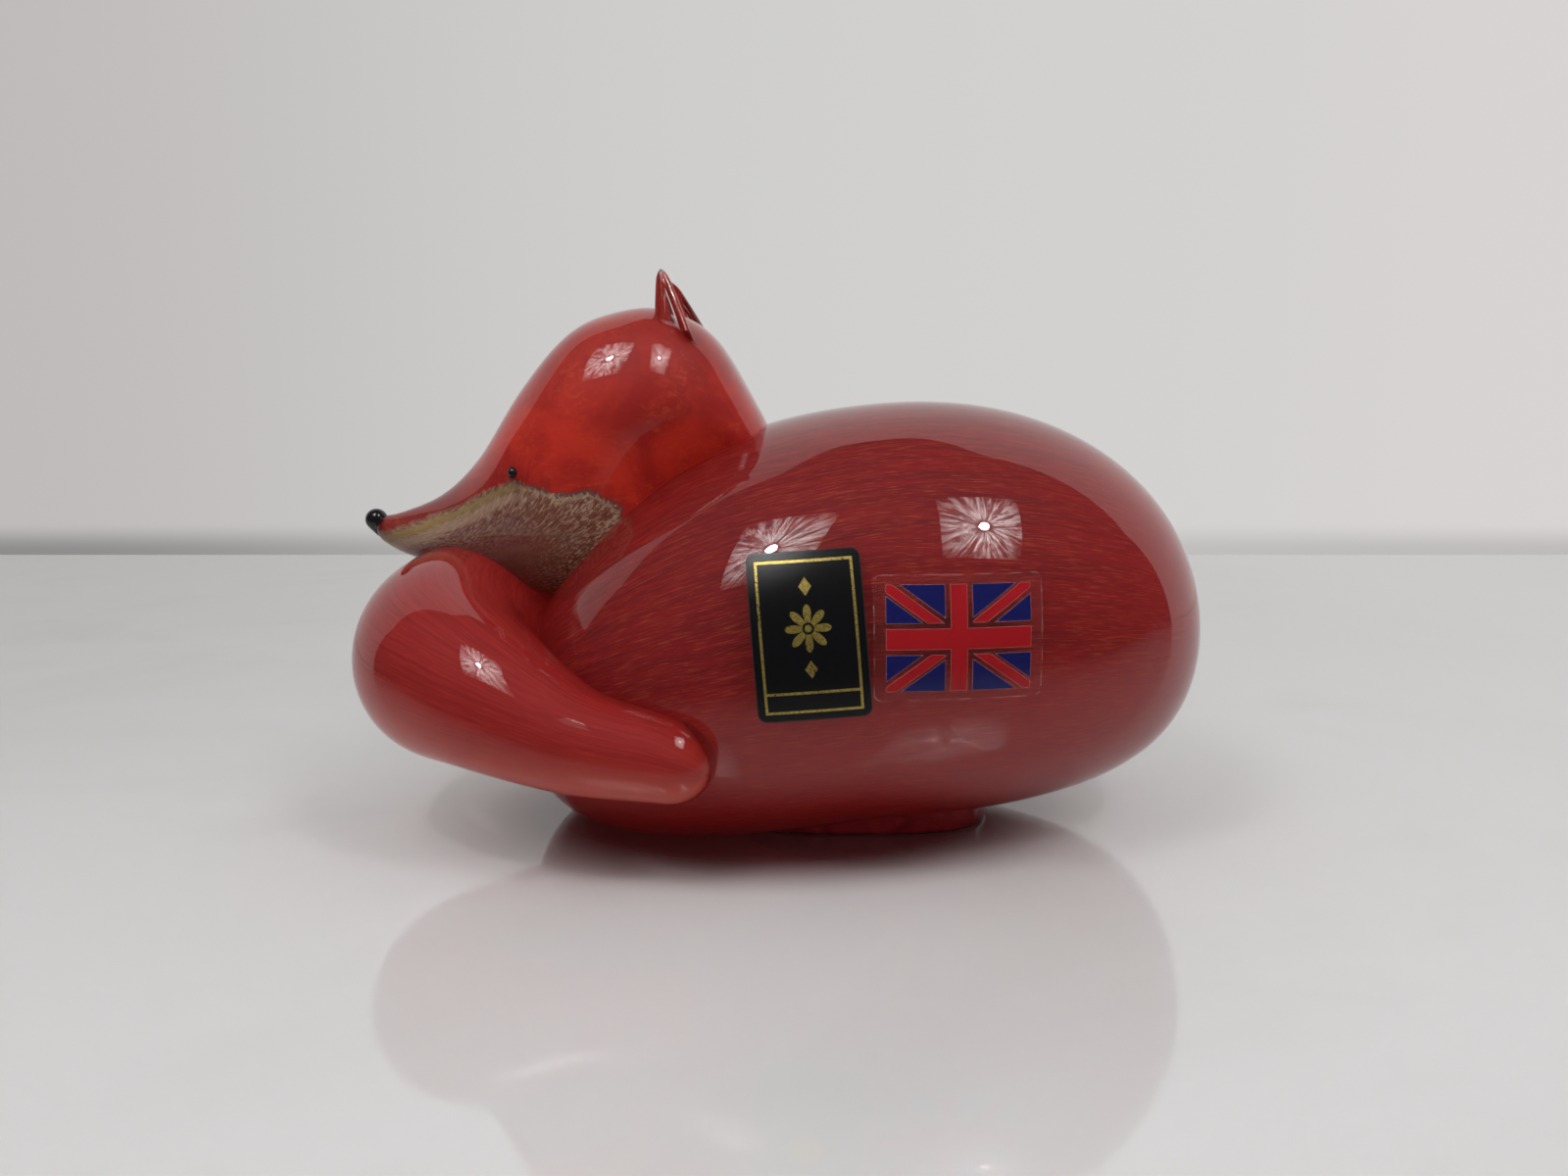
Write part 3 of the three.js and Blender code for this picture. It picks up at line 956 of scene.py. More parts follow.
@dataclass(frozen=True, kw_only=True)
class ClearGlass(Finish):
    """Clear glass, as over the colour and in the ears."""

    tint: Colour = linear(1.0, 0.985, 0.98)
    index: float = 1.5
    clean: float = 0.004
    smeared: float = 0.03
    waves: float = 0.045
    waviness: float = 0.22
    gloss: float = 0.5
    bends: Bends = Bends.WHAT_IS_LOOKED_AT

    def shader(self, tree: Tree) -> Socket:
        """Bending glass for some rays, and tinted air for the others.

        Args:
            tree: The material's tree.

        Returns:
            The shader.
        """
        place = place_in_mm(tree)
        roughness, height = effect(
            tree, EffectGroup.HANDLING, place, self.clean, self.smeared, self.waves
        )
        glass = principled(tree, {
            "Base Color": self.tint,
            "Roughness": roughness,
            "IOR": self.index,
            "Specular IOR Level": self.gloss,
            "Transmission Weight": 1.0,
            "Normal": bumped(tree, height, 1.0, self.waviness),
        })
        air = add_node(tree, "ShaderNodeBsdfTransparent", {"Color": self.tint}).outputs[0]
        if self.bends is Bends.ALL_BUT_LAMPLIGHT:
            return either(tree, seen_as(tree, "Is Shadow Ray"), glass, air)
        looks = most(tree, seen_as(tree, "Is Camera Ray"), seen_as(tree, "Is Glossy Ray"))
        return either(tree, looks, air, glass)


@dataclass(frozen=True, kw_only=True)
class StreakedColour(Finish):
    """Opaque glass drawn out into fine fibres, as in the body and the tail.

    Its bands and fibres lie over a deep colour. Its low colour is a lighter red: low down it is
    painted light, standing for light that the glass carries to its underside, and it also shows
    from tip_from millimetres along the form.
    """

    deep: Colour
    bands: Colour
    fibres: Colour
    low: Colour
    length: float
    width: float
    fibre_share: float
    tip_from: float
    painted_glow: float = 0.16
    band_edge: Span = (0.36, 0.62)
    fibre_edge: Span = (0.5, 0.7)
    gap: float = 0.35
    gap_edge: Span = (0.48, 0.3)
    gap_share: float = 0.6
    speck: Colour = linear(0.01, 0.004, 0.004)
    speck_spacing: float = 16.0
    speck_size: float = 0.33
    matt: Slope = (0.2, 0.5)
    drift: Cloud = Cloud(0.07, 3.0)
    drift_reach: float = 4.0
    low_edge: Span = (3.0, -9.0)
    low_share: float = 0.8
    tip_fade: float = 32.0
    tip_share: float = 0.85

    def shader(self, tree: Tree) -> Socket:
        """Streaks of colour with rare specks, with a faint painted glow that stands for light
        carried through the glass.

        Args:
            tree: The material's tree.

        Returns:
            The shader.
        """
        flow = attribute(tree, "flow")
        fine, broad = effect(tree, EffectGroup.STREAKS, flow, self.length, self.width)
        colour = Wash(self.bands, *self.band_edge).over(tree, self.deep, broad)
        # the low colour: a lighter red, painted light low down, and the same colour towards the tip
        colour = mixed(tree, self.painted_low_light_and_tip(tree, flow), colour, self.low)
        colour = Wash(self.fibres, *self.fibre_edge, self.fibre_share).over(tree, colour, fine)
        gaps = product(tree, stepped(tree, fine, *self.gap_edge), self.gap_share)
        colour = mixed(tree, gaps, colour, mixed(tree, self.gap, colour, BLACK))
        inputs = (flow, self.speck_spacing, self.speck_size)
        colour = mixed(tree, effect(tree, EffectGroup.SPECKS, *inputs)[0], colour, self.speck)
        return principled(tree, {
            "Base Color": colour,
            "Roughness": scaled(tree, fine, *self.matt),
            "Specular IOR Level": CORE_GLOSS,
            # painted glow: an even emission of the colour stands for light carried through the
            # glass
            "Emission Color": colour,
            "Emission Strength": self.painted_glow,
        })

    def painted_low_light_and_tip(self, tree: Tree, flow: Socket) -> Socket:
        """How much of the low colour shows: more low down, as painted light, and towards the tip.

        Args:
            tree: The material's tree.
            flow: The place along and round the form.

        Returns:
            The share of the low colour.
        """
        x, _, z = split(tree, flow)
        drift = self.drift.over(tree, flow)
        drift = scaled(tree, drift, 2 * self.drift_reach, -self.drift_reach)
        low = stepped(tree, maths(tree, "ADD", z, drift), *self.low_edge)
        x = maths(tree, "ADD", x, drift)
        tip = stepped(tree, x, self.tip_from, self.tip_from + self.tip_fade)
        low = product(tree, low, self.low_share)
        return most(tree, low, product(tree, tip, self.tip_share))


@dataclass(frozen=True, kw_only=True)
class HeadColour(Finish):
    """Cloudy mixture of scarlet and orange-red glass, darker at the crown and the snout."""

    name: str = "head_orange_red"
    scarlet: Colour = linear(0.27, 0.007, 0.005)
    clouds: Cloud = Cloud(0.1, 4.0, 0.6, 0.6)
    orange: Wash = Wash(linear(0.43, 0.019, 0.0085), 0.36, 0.66)
    crown: Wash = Wash(linear(0.19, 0.016, 0.013), 58.0, 76.0, 0.6)
    snout: Wash = Wash(linear(0.085, 0.012, 0.012), -52.0, -66.0, 0.65)
    grains: Cloud = Cloud(0.9, 4.0, 0.65, 0.5)
    grain_stretch: Triple = (1.0, 1.0, 1.5)
    gold: Wash = Wash(linear(0.46, 0.07, 0.012), 0.46, 0.74)
    gold_drift: Cloud = Cloud(0.13, 3.0)
    gold_drift_edge: Span = (0.4, 0.62)
    gold_share: Slope = (0.3, 0.08)
    matt: float = 0.5
    painted_glow: float = 0.12

    def colour(self, tree: Tree) -> Socket:
        """The mixture of colours.

        Args:
            tree: The tree that it is drawn in.

        Returns:
            The colour.
        """
        place = place_in_mm(tree)
        colour = self.orange.over(tree, self.scarlet, self.clouds.over(tree, place))
        x, _, z = split(tree, place)
        colour = self.crown.over(tree, colour, z)
        colour = self.snout.over(tree, colour, x)
        grains = self.grains.over(tree, stretched(tree, place, self.grain_stretch))
        drift = stepped(tree, self.gold_drift.over(tree, place), *self.gold_drift_edge)
        return self.gold.over(tree, colour, grains, scaled(tree, drift, *self.gold_share))

    def shader(self, tree: Tree) -> Socket:
        """Soft cloudy glass, with a faint painted glow that stands for light carried through the
        glass.

        Args:
            tree: The material's tree.

        Returns:
            The shader.
        """
        colour = self.colour(tree)
        return principled(tree, {
            "Base Color": colour, "Roughness": self.matt, "Specular IOR Level": CORE_GLOSS,
            # painted glow: an even emission of the colour stands for light carried through the
            # glass
            "Emission Color": colour, "Emission Strength": self.painted_glow,
        })


@dataclass(frozen=True, kw_only=True)
class BlackGlass(Finish):
    """Black glass of the nose and the eyes."""

    name: str = "black_glass"
    darkest: Colour = linear(0.004, 0.004, 0.005)
    lightest: Colour = linear(0.016, 0.013, 0.015)
    clouds: Cloud = Cloud(1.3, 3.0)
    clean: float = 0.03
    smeared: float = 0.12
    waves: float = 0.3
    relief: Relief = (0.5, 0.1)

    def shader(self, tree: Tree) -> Socket:
        """Glossy, slightly smeared black.

        Args:
            tree: The material's tree.

        Returns:
            The shader.
        """
        place = place_in_mm(tree)
        roughness, height = effect(
            tree, EffectGroup.HANDLING, place, self.clean, self.smeared, self.waves
        )
        clouds = self.clouds.over(tree, place)
        return principled(tree, {
            "Base Color": mixed(tree, clouds, self.darkest, self.lightest),
            "Roughness": roughness,
            "Normal": bumped(tree, height, *self.relief),
        })


@dataclass(frozen=True, kw_only=True)
class MuzzleColour(Finish):
    """Crushed cream, olive and brown glass, which thins out into the head's red at its edge.

    The muzzle has the olive band and the pale one under it, and the cheek the line and fringe.
    """

    name: str = "muzzle_crushed_glass"
    muzzle_edge: Span = (-48.0, -56.0)
    ragged: Cloud = Cloud(0.9, 5.0, 0.75, 0.6)
    fray: Slope = (-2.8, 4.2)
    brown: Colour = linear(0.165, 0.055, 0.03)
    streaks: Cloud = Cloud(0.8, 4.0, 0.6, 0.4)
    streak_stretch: Triple = (0.16, 1.3, 1.3)
    mauve: Wash = Wash(linear(0.17, 0.06, 0.062), 0.38, 0.6)
    mauve_share: Slope = (0.7, 0.15)
    slant: float = math.radians(32)
    flecks: Cloud = Cloud(0.9, 4.0, 0.7, 0.3)
    fleck_stretch: Triple = (0.9, 3.8, 3.8)
    cream: Colour = linear(0.42, 0.31, 0.21)
    pale_edge: Span = (0.49, 0.6)
    pale_share: float = 0.75
    near_top: Span = (11.0, 1.5)
    dark: Wash = Wash(linear(0.1, 0.03, 0.022), 0.47, 0.36, 0.85)
    band_wander: Slope = (1.6, -0.8)
    olive: Wash = Wash(linear(0.25, 0.19, 0.06), 0.3, 0.9, 0.75)
    olive_end: Span = (2.0, 1.2)
    under_edge: Span = (1.4, 2.1)
    under_share: float = 0.55
    under_end: Span = (3.6, 2.6)
    line_edge: Span = (1.6, 0.7)
    line_share: float = 0.5
    fringe: Wash = Wash(linear(0.05, 0.012, 0.022), 0.7, 0.25, 0.85)
    red_edge: Span = (-0.2, 0.25)
    matt: Slope = (0.3, 0.45)
    relief: Relief = (0.4, 0.12)

    def shader(self, tree: Tree) -> Socket:
        """Streaked and flecked glass with bands that follow its ragged edge.

        Args:
            tree: The material's tree.

        Returns:
            The shader.
        """
        place, flow = place_in_mm(tree), attribute(tree, "flow")
        muzzle = stepped(tree, split(tree, place)[0], *self.muzzle_edge)
        cheek = maths(tree, "SUBTRACT", 1.0, muzzle)
        ragged = maths(tree, "SUBTRACT", self.ragged.over(tree, place), 0.5)
        fray = scaled(tree, muzzle, *self.fray)
        depth = scaled(tree, ragged, fray, attribute(tree, "inside_edge", "Fac"))
        streaks = self.streaks.over(tree, stretched(tree, flow, self.streak_stretch))
        flecks = stretched(tree, self.slanted(tree, flow), self.fleck_stretch)
        flecks = self.flecks.over(tree, flecks)
        mauve_share = scaled(tree, muzzle, *self.mauve_share)
        colour = self.mauve.over(tree, self.brown, streaks, mauve_share)
        pale = Wash(self.cream, *self.pale_edge, self.pale_share)
        colour = pale.over(tree, colour, flecks, stepped(tree, depth, *self.near_top))
        colour = self.dark.over(tree, colour, flecks)
        band = maths(tree, "ADD", depth, scaled(tree, streaks, *self.band_wander))
        olive_end = stepped(tree, band, *self.olive_end)
        colour = self.olive.over(tree, colour, band, olive_end, muzzle)
        under = Wash(self.cream, *self.under_edge, self.under_share)
        colour = under.over(tree, colour, band, stepped(tree, band, *self.under_end), muzzle)
        line = Wash(self.cream, *self.line_edge, self.line_share)
        colour = line.over(tree, colour, depth, cheek)
        colour = self.fringe.over(tree, colour, depth, cheek)
        inside = stepped(tree, depth, *self.red_edge)
        return principled(tree, {
            "Base Color": mixed(tree, inside, HeadColour().colour(tree), colour),
            "Roughness": scaled(tree, flecks, *self.matt),
            "Specular IOR Level": CORE_GLOSS,
            "Normal": bumped(tree, flecks, *self.relief),
        })

    def slanted(self, tree: Tree, flow: Socket) -> Socket:
        """The flow, turned so that the flecks slant downwards and back."""
        inputs = {"Vector": flow, "Axis": ACROSS, "Angle": self.slant}
        return add_node(tree, "ShaderNodeVectorRotate", inputs).outputs[0]


@dataclass(frozen=True, kw_only=True)
class MaroonGlass(Finish):
    """Dark maroon glass of the ground base, matt and scratched where it was ground."""

    name: str = "maroon_base_glass"
    maroon: Colour = linear(0.12, 0.004, 0.006)
    clouds: Cloud = Cloud(0.2, 4.0, 0.6, 0.8)
    red: Wash = Wash(linear(0.2, 0.01, 0.012), 0.35, 0.65)
    ground_edge: Span = (0.25, 0.05)
    scratches: Cloud = Cloud(1.2, 5.0, 0.7)
    scratch_stretch: Triple = (0.3, 4.0, 4.0)
    matt: Slope = (0.4, 0.06)
    relief: Relief = (0.4, 0.05)
    polish: float = 0.5
    polish_roughness: float = 0.05

    def shader(self, tree: Tree) -> Socket:
        """Polished cloudy glass with a ground foot.

        Args:
            tree: The material's tree.

        Returns:
            The shader.
        """
        place = place_in_mm(tree)
        ground = stepped(tree, split(tree, place)[2], *self.ground_edge)
        scratches = self.scratches.over(tree, stretched(tree, place, self.scratch_stretch))
        return principled(tree, {
            "Base Color": self.red.over(tree, self.maroon, self.clouds.over(tree, place)),
            "Roughness": scaled(tree, ground, *self.matt),
            "Normal": bumped(tree, product(tree, scratches, ground), *self.relief),
            "Coat Weight": self.polish,
            "Coat Roughness": self.polish_roughness,
        })


@dataclass(frozen=True, kw_only=True)
class LabelFoil(Finish):
    """Black satin paper with worn gold foil: a border, a line near its foot and a plain rosette."""

    name: str = "black_and_gold_paper"
    half_width: float
    half_height: float
    inset: float = 1.1
    line: float = 0.36
    foot: float = 3.0
    soft: float = 0.04
    ornament_soft: float = 0.05
    rosette: float = 3.1
    rosette_lift: float = 0.2
    petals: int = 8
    petal_fullness: float = 0.6
    petals_from: Span = (0.75, 0.85)
    bead: Span = (0.5, 0.42)
    lozenge_away: float = 2.3
    lozenge_slimness: float = 1.4
    lozenge: float = 1.2
    wear: Cloud = Cloud(2.6, 5.0, 0.75, 0.5)
    worn_patches: Cloud = Cloud(0.12, 3.0, 0.6)
    patch_share: float = 0.45
    bare_edge: Span = (0.84, 0.78)
    dull_gold: Colour = linear(0.3, 0.2, 0.045)
    bright_gold: Wash = Wash(linear(0.78, 0.62, 0.16), 0.35, 0.65)
    ink: Colour = linear(0.002, 0.002, 0.003)
    ink_worn: Colour = linear(0.007, 0.007, 0.008)
    rubbed_rim: Wash = Wash(linear(0.05, 0.045, 0.045), 0.22, 0.0, 0.5)
    metal: float = 0.85
    satin: Slope = (0.1, 0.26)
    gloss: float = 0.25
    foil_height: float = 0.5
    relief: Relief = (0.3, 0.02)

    def shader(self, tree: Tree) -> Socket:
        """Gold foil on black paper, rubbed pale at its rim.

        Args:
            tree: The material's tree.

        Returns:
            The shader.
        """
        printed = attribute(tree, "print")
        x, y, _ = split(tree, printed)
        wear = self.wear.over(tree, printed)
        patches = scaled(tree, self.worn_patches.over(tree, printed), self.patch_share, wear)
        above = maths(tree, "SUBTRACT", y, self.foot / 2 - self.rosette_lift)
        gold = most(tree, self.border(tree, x, y), self.ornament(tree, x, above))
        gold = product(tree, gold, stepped(tree, patches, *self.bare_edge))
        foil = self.bright_gold.over(tree, self.dull_gold, wear)
        paper = mixed(tree, wear, self.ink, self.ink_worn)
        paper = self.rubbed_rim.over(tree, paper, attribute(tree, "rim", "Fac"))
        return principled(tree, {
            "Base Color": mixed(tree, gold, paper, foil),
            "Metallic": product(tree, gold, self.metal),
            "Roughness": scaled(tree, gold, *self.satin),
            "Specular IOR Level": self.gloss,
            "Normal": bumped(tree, scaled(tree, gold, self.foil_height, wear), *self.relief),
        })

    def border(self, tree: Tree, x: Socket, y: Socket) -> Socket:
        """The border line, with a second line above its foot.

        Args:
            tree: The material's tree.
            x: The place across the label, from its middle.
            y: The place up the label, from its middle.

        Returns:
            The mask of the lines.
        """
        aside, high = size_of(tree, x), size_of(tree, y)
        right, top = self.half_width - self.inset, self.half_height - self.inset
        in_width = within(tree, aside, right, self.soft)
        upright = between(tree, aside, right - self.line, right, self.soft)
        level = between(tree, high, top - self.line, top, self.soft)
        foot = between(tree, y, self.foot - top - self.line, self.foot - top, self.soft)
        upright = product(tree, upright, within(tree, high, top, self.soft))
        return most(tree, upright, product(tree, level, in_width), product(tree, foot, in_width))

    def ornament(self, tree: Tree, x: Socket, y: Socket) -> Socket:
        """A plain rosette of petals, with a lozenge over it and one under it.

        Args:
            tree: The material's tree.
            x: The place to the side of the rosette's middle.
            y: The place above it.

        Returns:
            The mask of the ornament.
        """
        reach = length_of(tree, joined(tree, x, y))
        angle = maths(tree, "ARCTAN2", y, x)
        wave = size_of(tree, maths(tree, "COSINE", product(tree, angle, self.petals / 2)))
        edge = product(tree, maths(tree, "POWER", wave, self.petal_fullness), self.rosette)
        soft = self.ornament_soft
        petals = beyond(tree, maths(tree, "SUBTRACT", edge, reach), 0.0, soft)
        petals = product(tree, petals, stepped(tree, reach, *self.petals_from))
        off = maths(tree, "SUBTRACT", size_of(tree, y), self.rosette + self.lozenge_away)
        aside = product(tree, size_of(tree, x), self.lozenge_slimness)
        lozenge = within(tree, maths(tree, "ADD", aside, size_of(tree, off)), self.lozenge, soft)
        return most(tree, petals, stepped(tree, reach, *self.bead), lozenge)


@dataclass(frozen=True, kw_only=True)
class FlagFilm(Finish):
    """Clear film with a national flag printed on it in blue and red ink only."""

    name: str = "printed_film"
    half_width: float = 9.75
    half_height: float = 7.1
    upright: float = 1.12
    level: float = 1.38
    margin: float = 0.72
    saltire: float = 1.15
    red_saltire: float = 0.78
    red_line: float = 1.3
    soft: float = 0.05
    blue: Colour = linear(0.005, 0.009, 0.09)
    red: Colour = linear(0.34, 0.008, 0.01)
    grain: Cloud = Cloud(3.2, 4.0, 0.7)
    thin_ink: Wash = Wash(linear(0.05, 0.02, 0.06), 0.45, 0.75, 0.35)
    film: Colour = linear(0.62, 0.42, 0.4)
    ink_cover: float = 0.92
    lifted_rim: Span = (0.22, 0.05)
    lifted_patches: Cloud = Cloud(0.45, 3.0)
    patch_edge: Span = (0.42, 0.62)
    film_cover: Slope = (0.14, 0.006)
    matt: Slope = (0.1, 0.06)

    def shader(self, tree: Tree) -> Socket:
        """Ink on film, whose rim lifts off the glass in places.

        Args:
            tree: The material's tree.

        Returns:
            The shader.
        """
        printed = attribute(tree, "print")
        red, blue = self.inks(tree, printed)
        grain = self.grain.over(tree, printed)
        ink = self.thin_ink.over(tree, mixed(tree, blue, self.red, self.blue), grain)
        covered = most(tree, red, blue)
        rim = stepped(tree, attribute(tree, "rim", "Fac"), *self.lifted_rim)
        patches = stepped(tree, self.lifted_patches.over(tree, printed), *self.patch_edge)
        film = scaled(tree, product(tree, rim, patches), *self.film_cover)
        return principled(tree, {
            "Base Color": mixed(tree, covered, self.film, ink),
            "Roughness": scaled(tree, grain, *self.matt),
            "Alpha": most(tree, product(tree, covered, self.ink_cover), film),
        })

    def inks(self, tree: Tree, printed: Socket) -> tuple[Socket, Socket]:
        """Where each ink lies.

        Args:
            tree: The material's tree.
            printed: The place on the flat sticker.

        Returns:
            The masks of the red ink and of the blue one.
        """
        x, y, _ = split(tree, printed)
        aside, high = size_of(tree, x), size_of(tree, y)
        slant = math.hypot(self.half_width, self.half_height)
        along = product(tree, aside, self.half_height / slant)
        off = maths(tree, "SUBTRACT", along, product(tree, high, self.half_width / slant))
        quarter = product(tree, maths(tree, "SIGN", product(tree, x, y)), -1.0)
        cross = most(
            tree,
            within(tree, aside, self.upright, self.soft),
            within(tree, high, self.level, self.soft),
        )
        clear = product(
            tree,
            beyond(tree, aside, self.upright + self.margin, self.soft),
            beyond(tree, high, self.level + self.margin, self.soft),
        )
        inner = self.red_saltire - self.red_line
        line = between(tree, product(tree, off, quarter), inner, self.red_saltire, self.soft)
        field = beyond(tree, size_of(tree, off), self.saltire, self.soft)
        inside = product(
            tree,
            within(tree, aside, self.half_width, self.soft),
            within(tree, high, self.half_height, self.soft),
        )
        red = product(tree, most(tree, cross, product(tree, line, clear)), inside)
        return red, product(tree, field, clear, inside)


# Sub-assemblies


@dataclass(frozen=True)
class Body:
    """The body: clear glass over a streaked core, and the pad that it was ground flat on."""

    casing: float = 2.6
    gap: float = 0.3
    along: int = 96
    around: int = 144
    pad_half_length: float = 21.6
    pad_half_width: float = 16.0
    pad_height: float = 7.0
    pad_bevel: float = 0.7
    pad_squareness: float = 3.2
    pad_around: int = 96
    pad_bevel_steps: int = 4
    ground_at: float = 0.02
    foot_below: float = 0.01

    def build(self) -> None:
        """Makes the body's pieces."""
        glass = ClearGlass(name="body_clear_glass").build()
        skin = closed_form(BODY.ring, self.along, self.around)
        self.grind_flat(skin)
        cut_away_inside(skin, HEAD.depth)
        cut_away_inside(skin, TAIL.depth)
        finish_piece("body_glass", skin, glass, "clear_glass", "body_casing")
        red = StreakedColour(
            name="body_brick_red",
            deep=linear(0.112, 0.0023, 0.0032),
            bands=linear(0.154, 0.0032, 0.0042),
            fibres=linear(0.31, 0.058, 0.02),
            low=linear(0.225, 0.006, 0.007),
            length=3.2, width=0.13, fibre_share=0.42, tip_from=92.0,
        ).build()
        core = closed_form(BODY.ring, self.along, self.around, self.casing + self.gap)
        finish_piece("body_colour", core, red, "body_colour", "body_core")
        finish_piece("ground_pad", self.pad(), MaroonGlass().build(), "base_glass", "base_pad")

    def pad(self) -> BMesh:
        """The squarish plug that the fox stands on, with the bevel that grinding left on it.

        Returns:
            The plug's mesh.
        """
        bm = bmesh.new()
        around = self.pad_around
        made = bmesh.ops.create_circle(bm, segments=around, radius=1.0, cap_ends=True)
        for vert in made["verts"]:
            angle = math.atan2(vert.co.y, vert.co.x)
            x = signed_power(math.cos(angle), 2 / self.pad_squareness) * self.pad_half_length
            y = signed_power(math.sin(angle), 2 / self.pad_squareness) * self.pad_half_width
            vert.co = Vector((x, y, 0.0))
        foot = list(bm.faces)
        raised = bmesh.ops.extrude_face_region(bm, geom=foot)["geom"]
        tops = [part for part in raised if isinstance(part, bmesh.types.BMVert)]
        bmesh.ops.translate(bm, vec=(0, 0, self.pad_height), verts=tops)
        bmesh.ops.recalc_face_normals(bm, faces=bm.faces)
        low = [e for e in bm.edges if all(v.co.z < self.foot_below for v in e.verts)]
        bmesh.ops.bevel(
            bm, geom=low, offset=self.pad_bevel, segments=self.pad_bevel_steps, profile=0.5,
            affect="EDGES", material=-1,
        )
        return bm

    def grind_flat(self, bm: BMesh) -> None:
        """Cuts the form off at the table and closes the cut.

        Args:
            bm: The form's mesh.
        """
        geometry = [*bm.verts, *bm.edges, *bm.faces]
        at = (0, 0, self.ground_at)
        bmesh.ops.bisect_plane(bm, geom=geometry, plane_co=at, plane_no=UP, clear_inner=True)
        bmesh.ops.holes_fill(bm, edges=[edge for edge in bm.edges if edge.is_boundary])


@dataclass(frozen=True)
class Tail:
    """The tail: clear glass over a coral core."""

    casing: float = 1.5
    gap: float = 0.3
    along: int = 120
    around: int = 80

    def build(self) -> None:
        """Makes the tail's pieces."""
        glass = ClearGlass(name="tail_clear_glass", smeared=0.012).build()
        skin = closed_form(TAIL.ring, self.along, self.around)
        cut_away_inside(skin, BODY.depth)
        finish_piece("tail_glass", skin, glass, "clear_glass", "tail_casing")
        red = StreakedColour(
            name="tail_coral_red",
            deep=linear(0.17, 0.0055, 0.0055),
            bands=linear(0.203, 0.008, 0.007),
            fibres=linear(0.35, 0.047, 0.022),
            low=linear(0.36, 0.035, 0.019),
            length=4.6, width=0.11, fibre_share=0.24, tip_from=108.0, painted_glow=0.24,
        ).build()
        core = closed_form(TAIL.ring, self.along, self.around, self.casing + self.gap)
        finish_piece("tail_colour", core, red, "tail_colour", "tail_core")


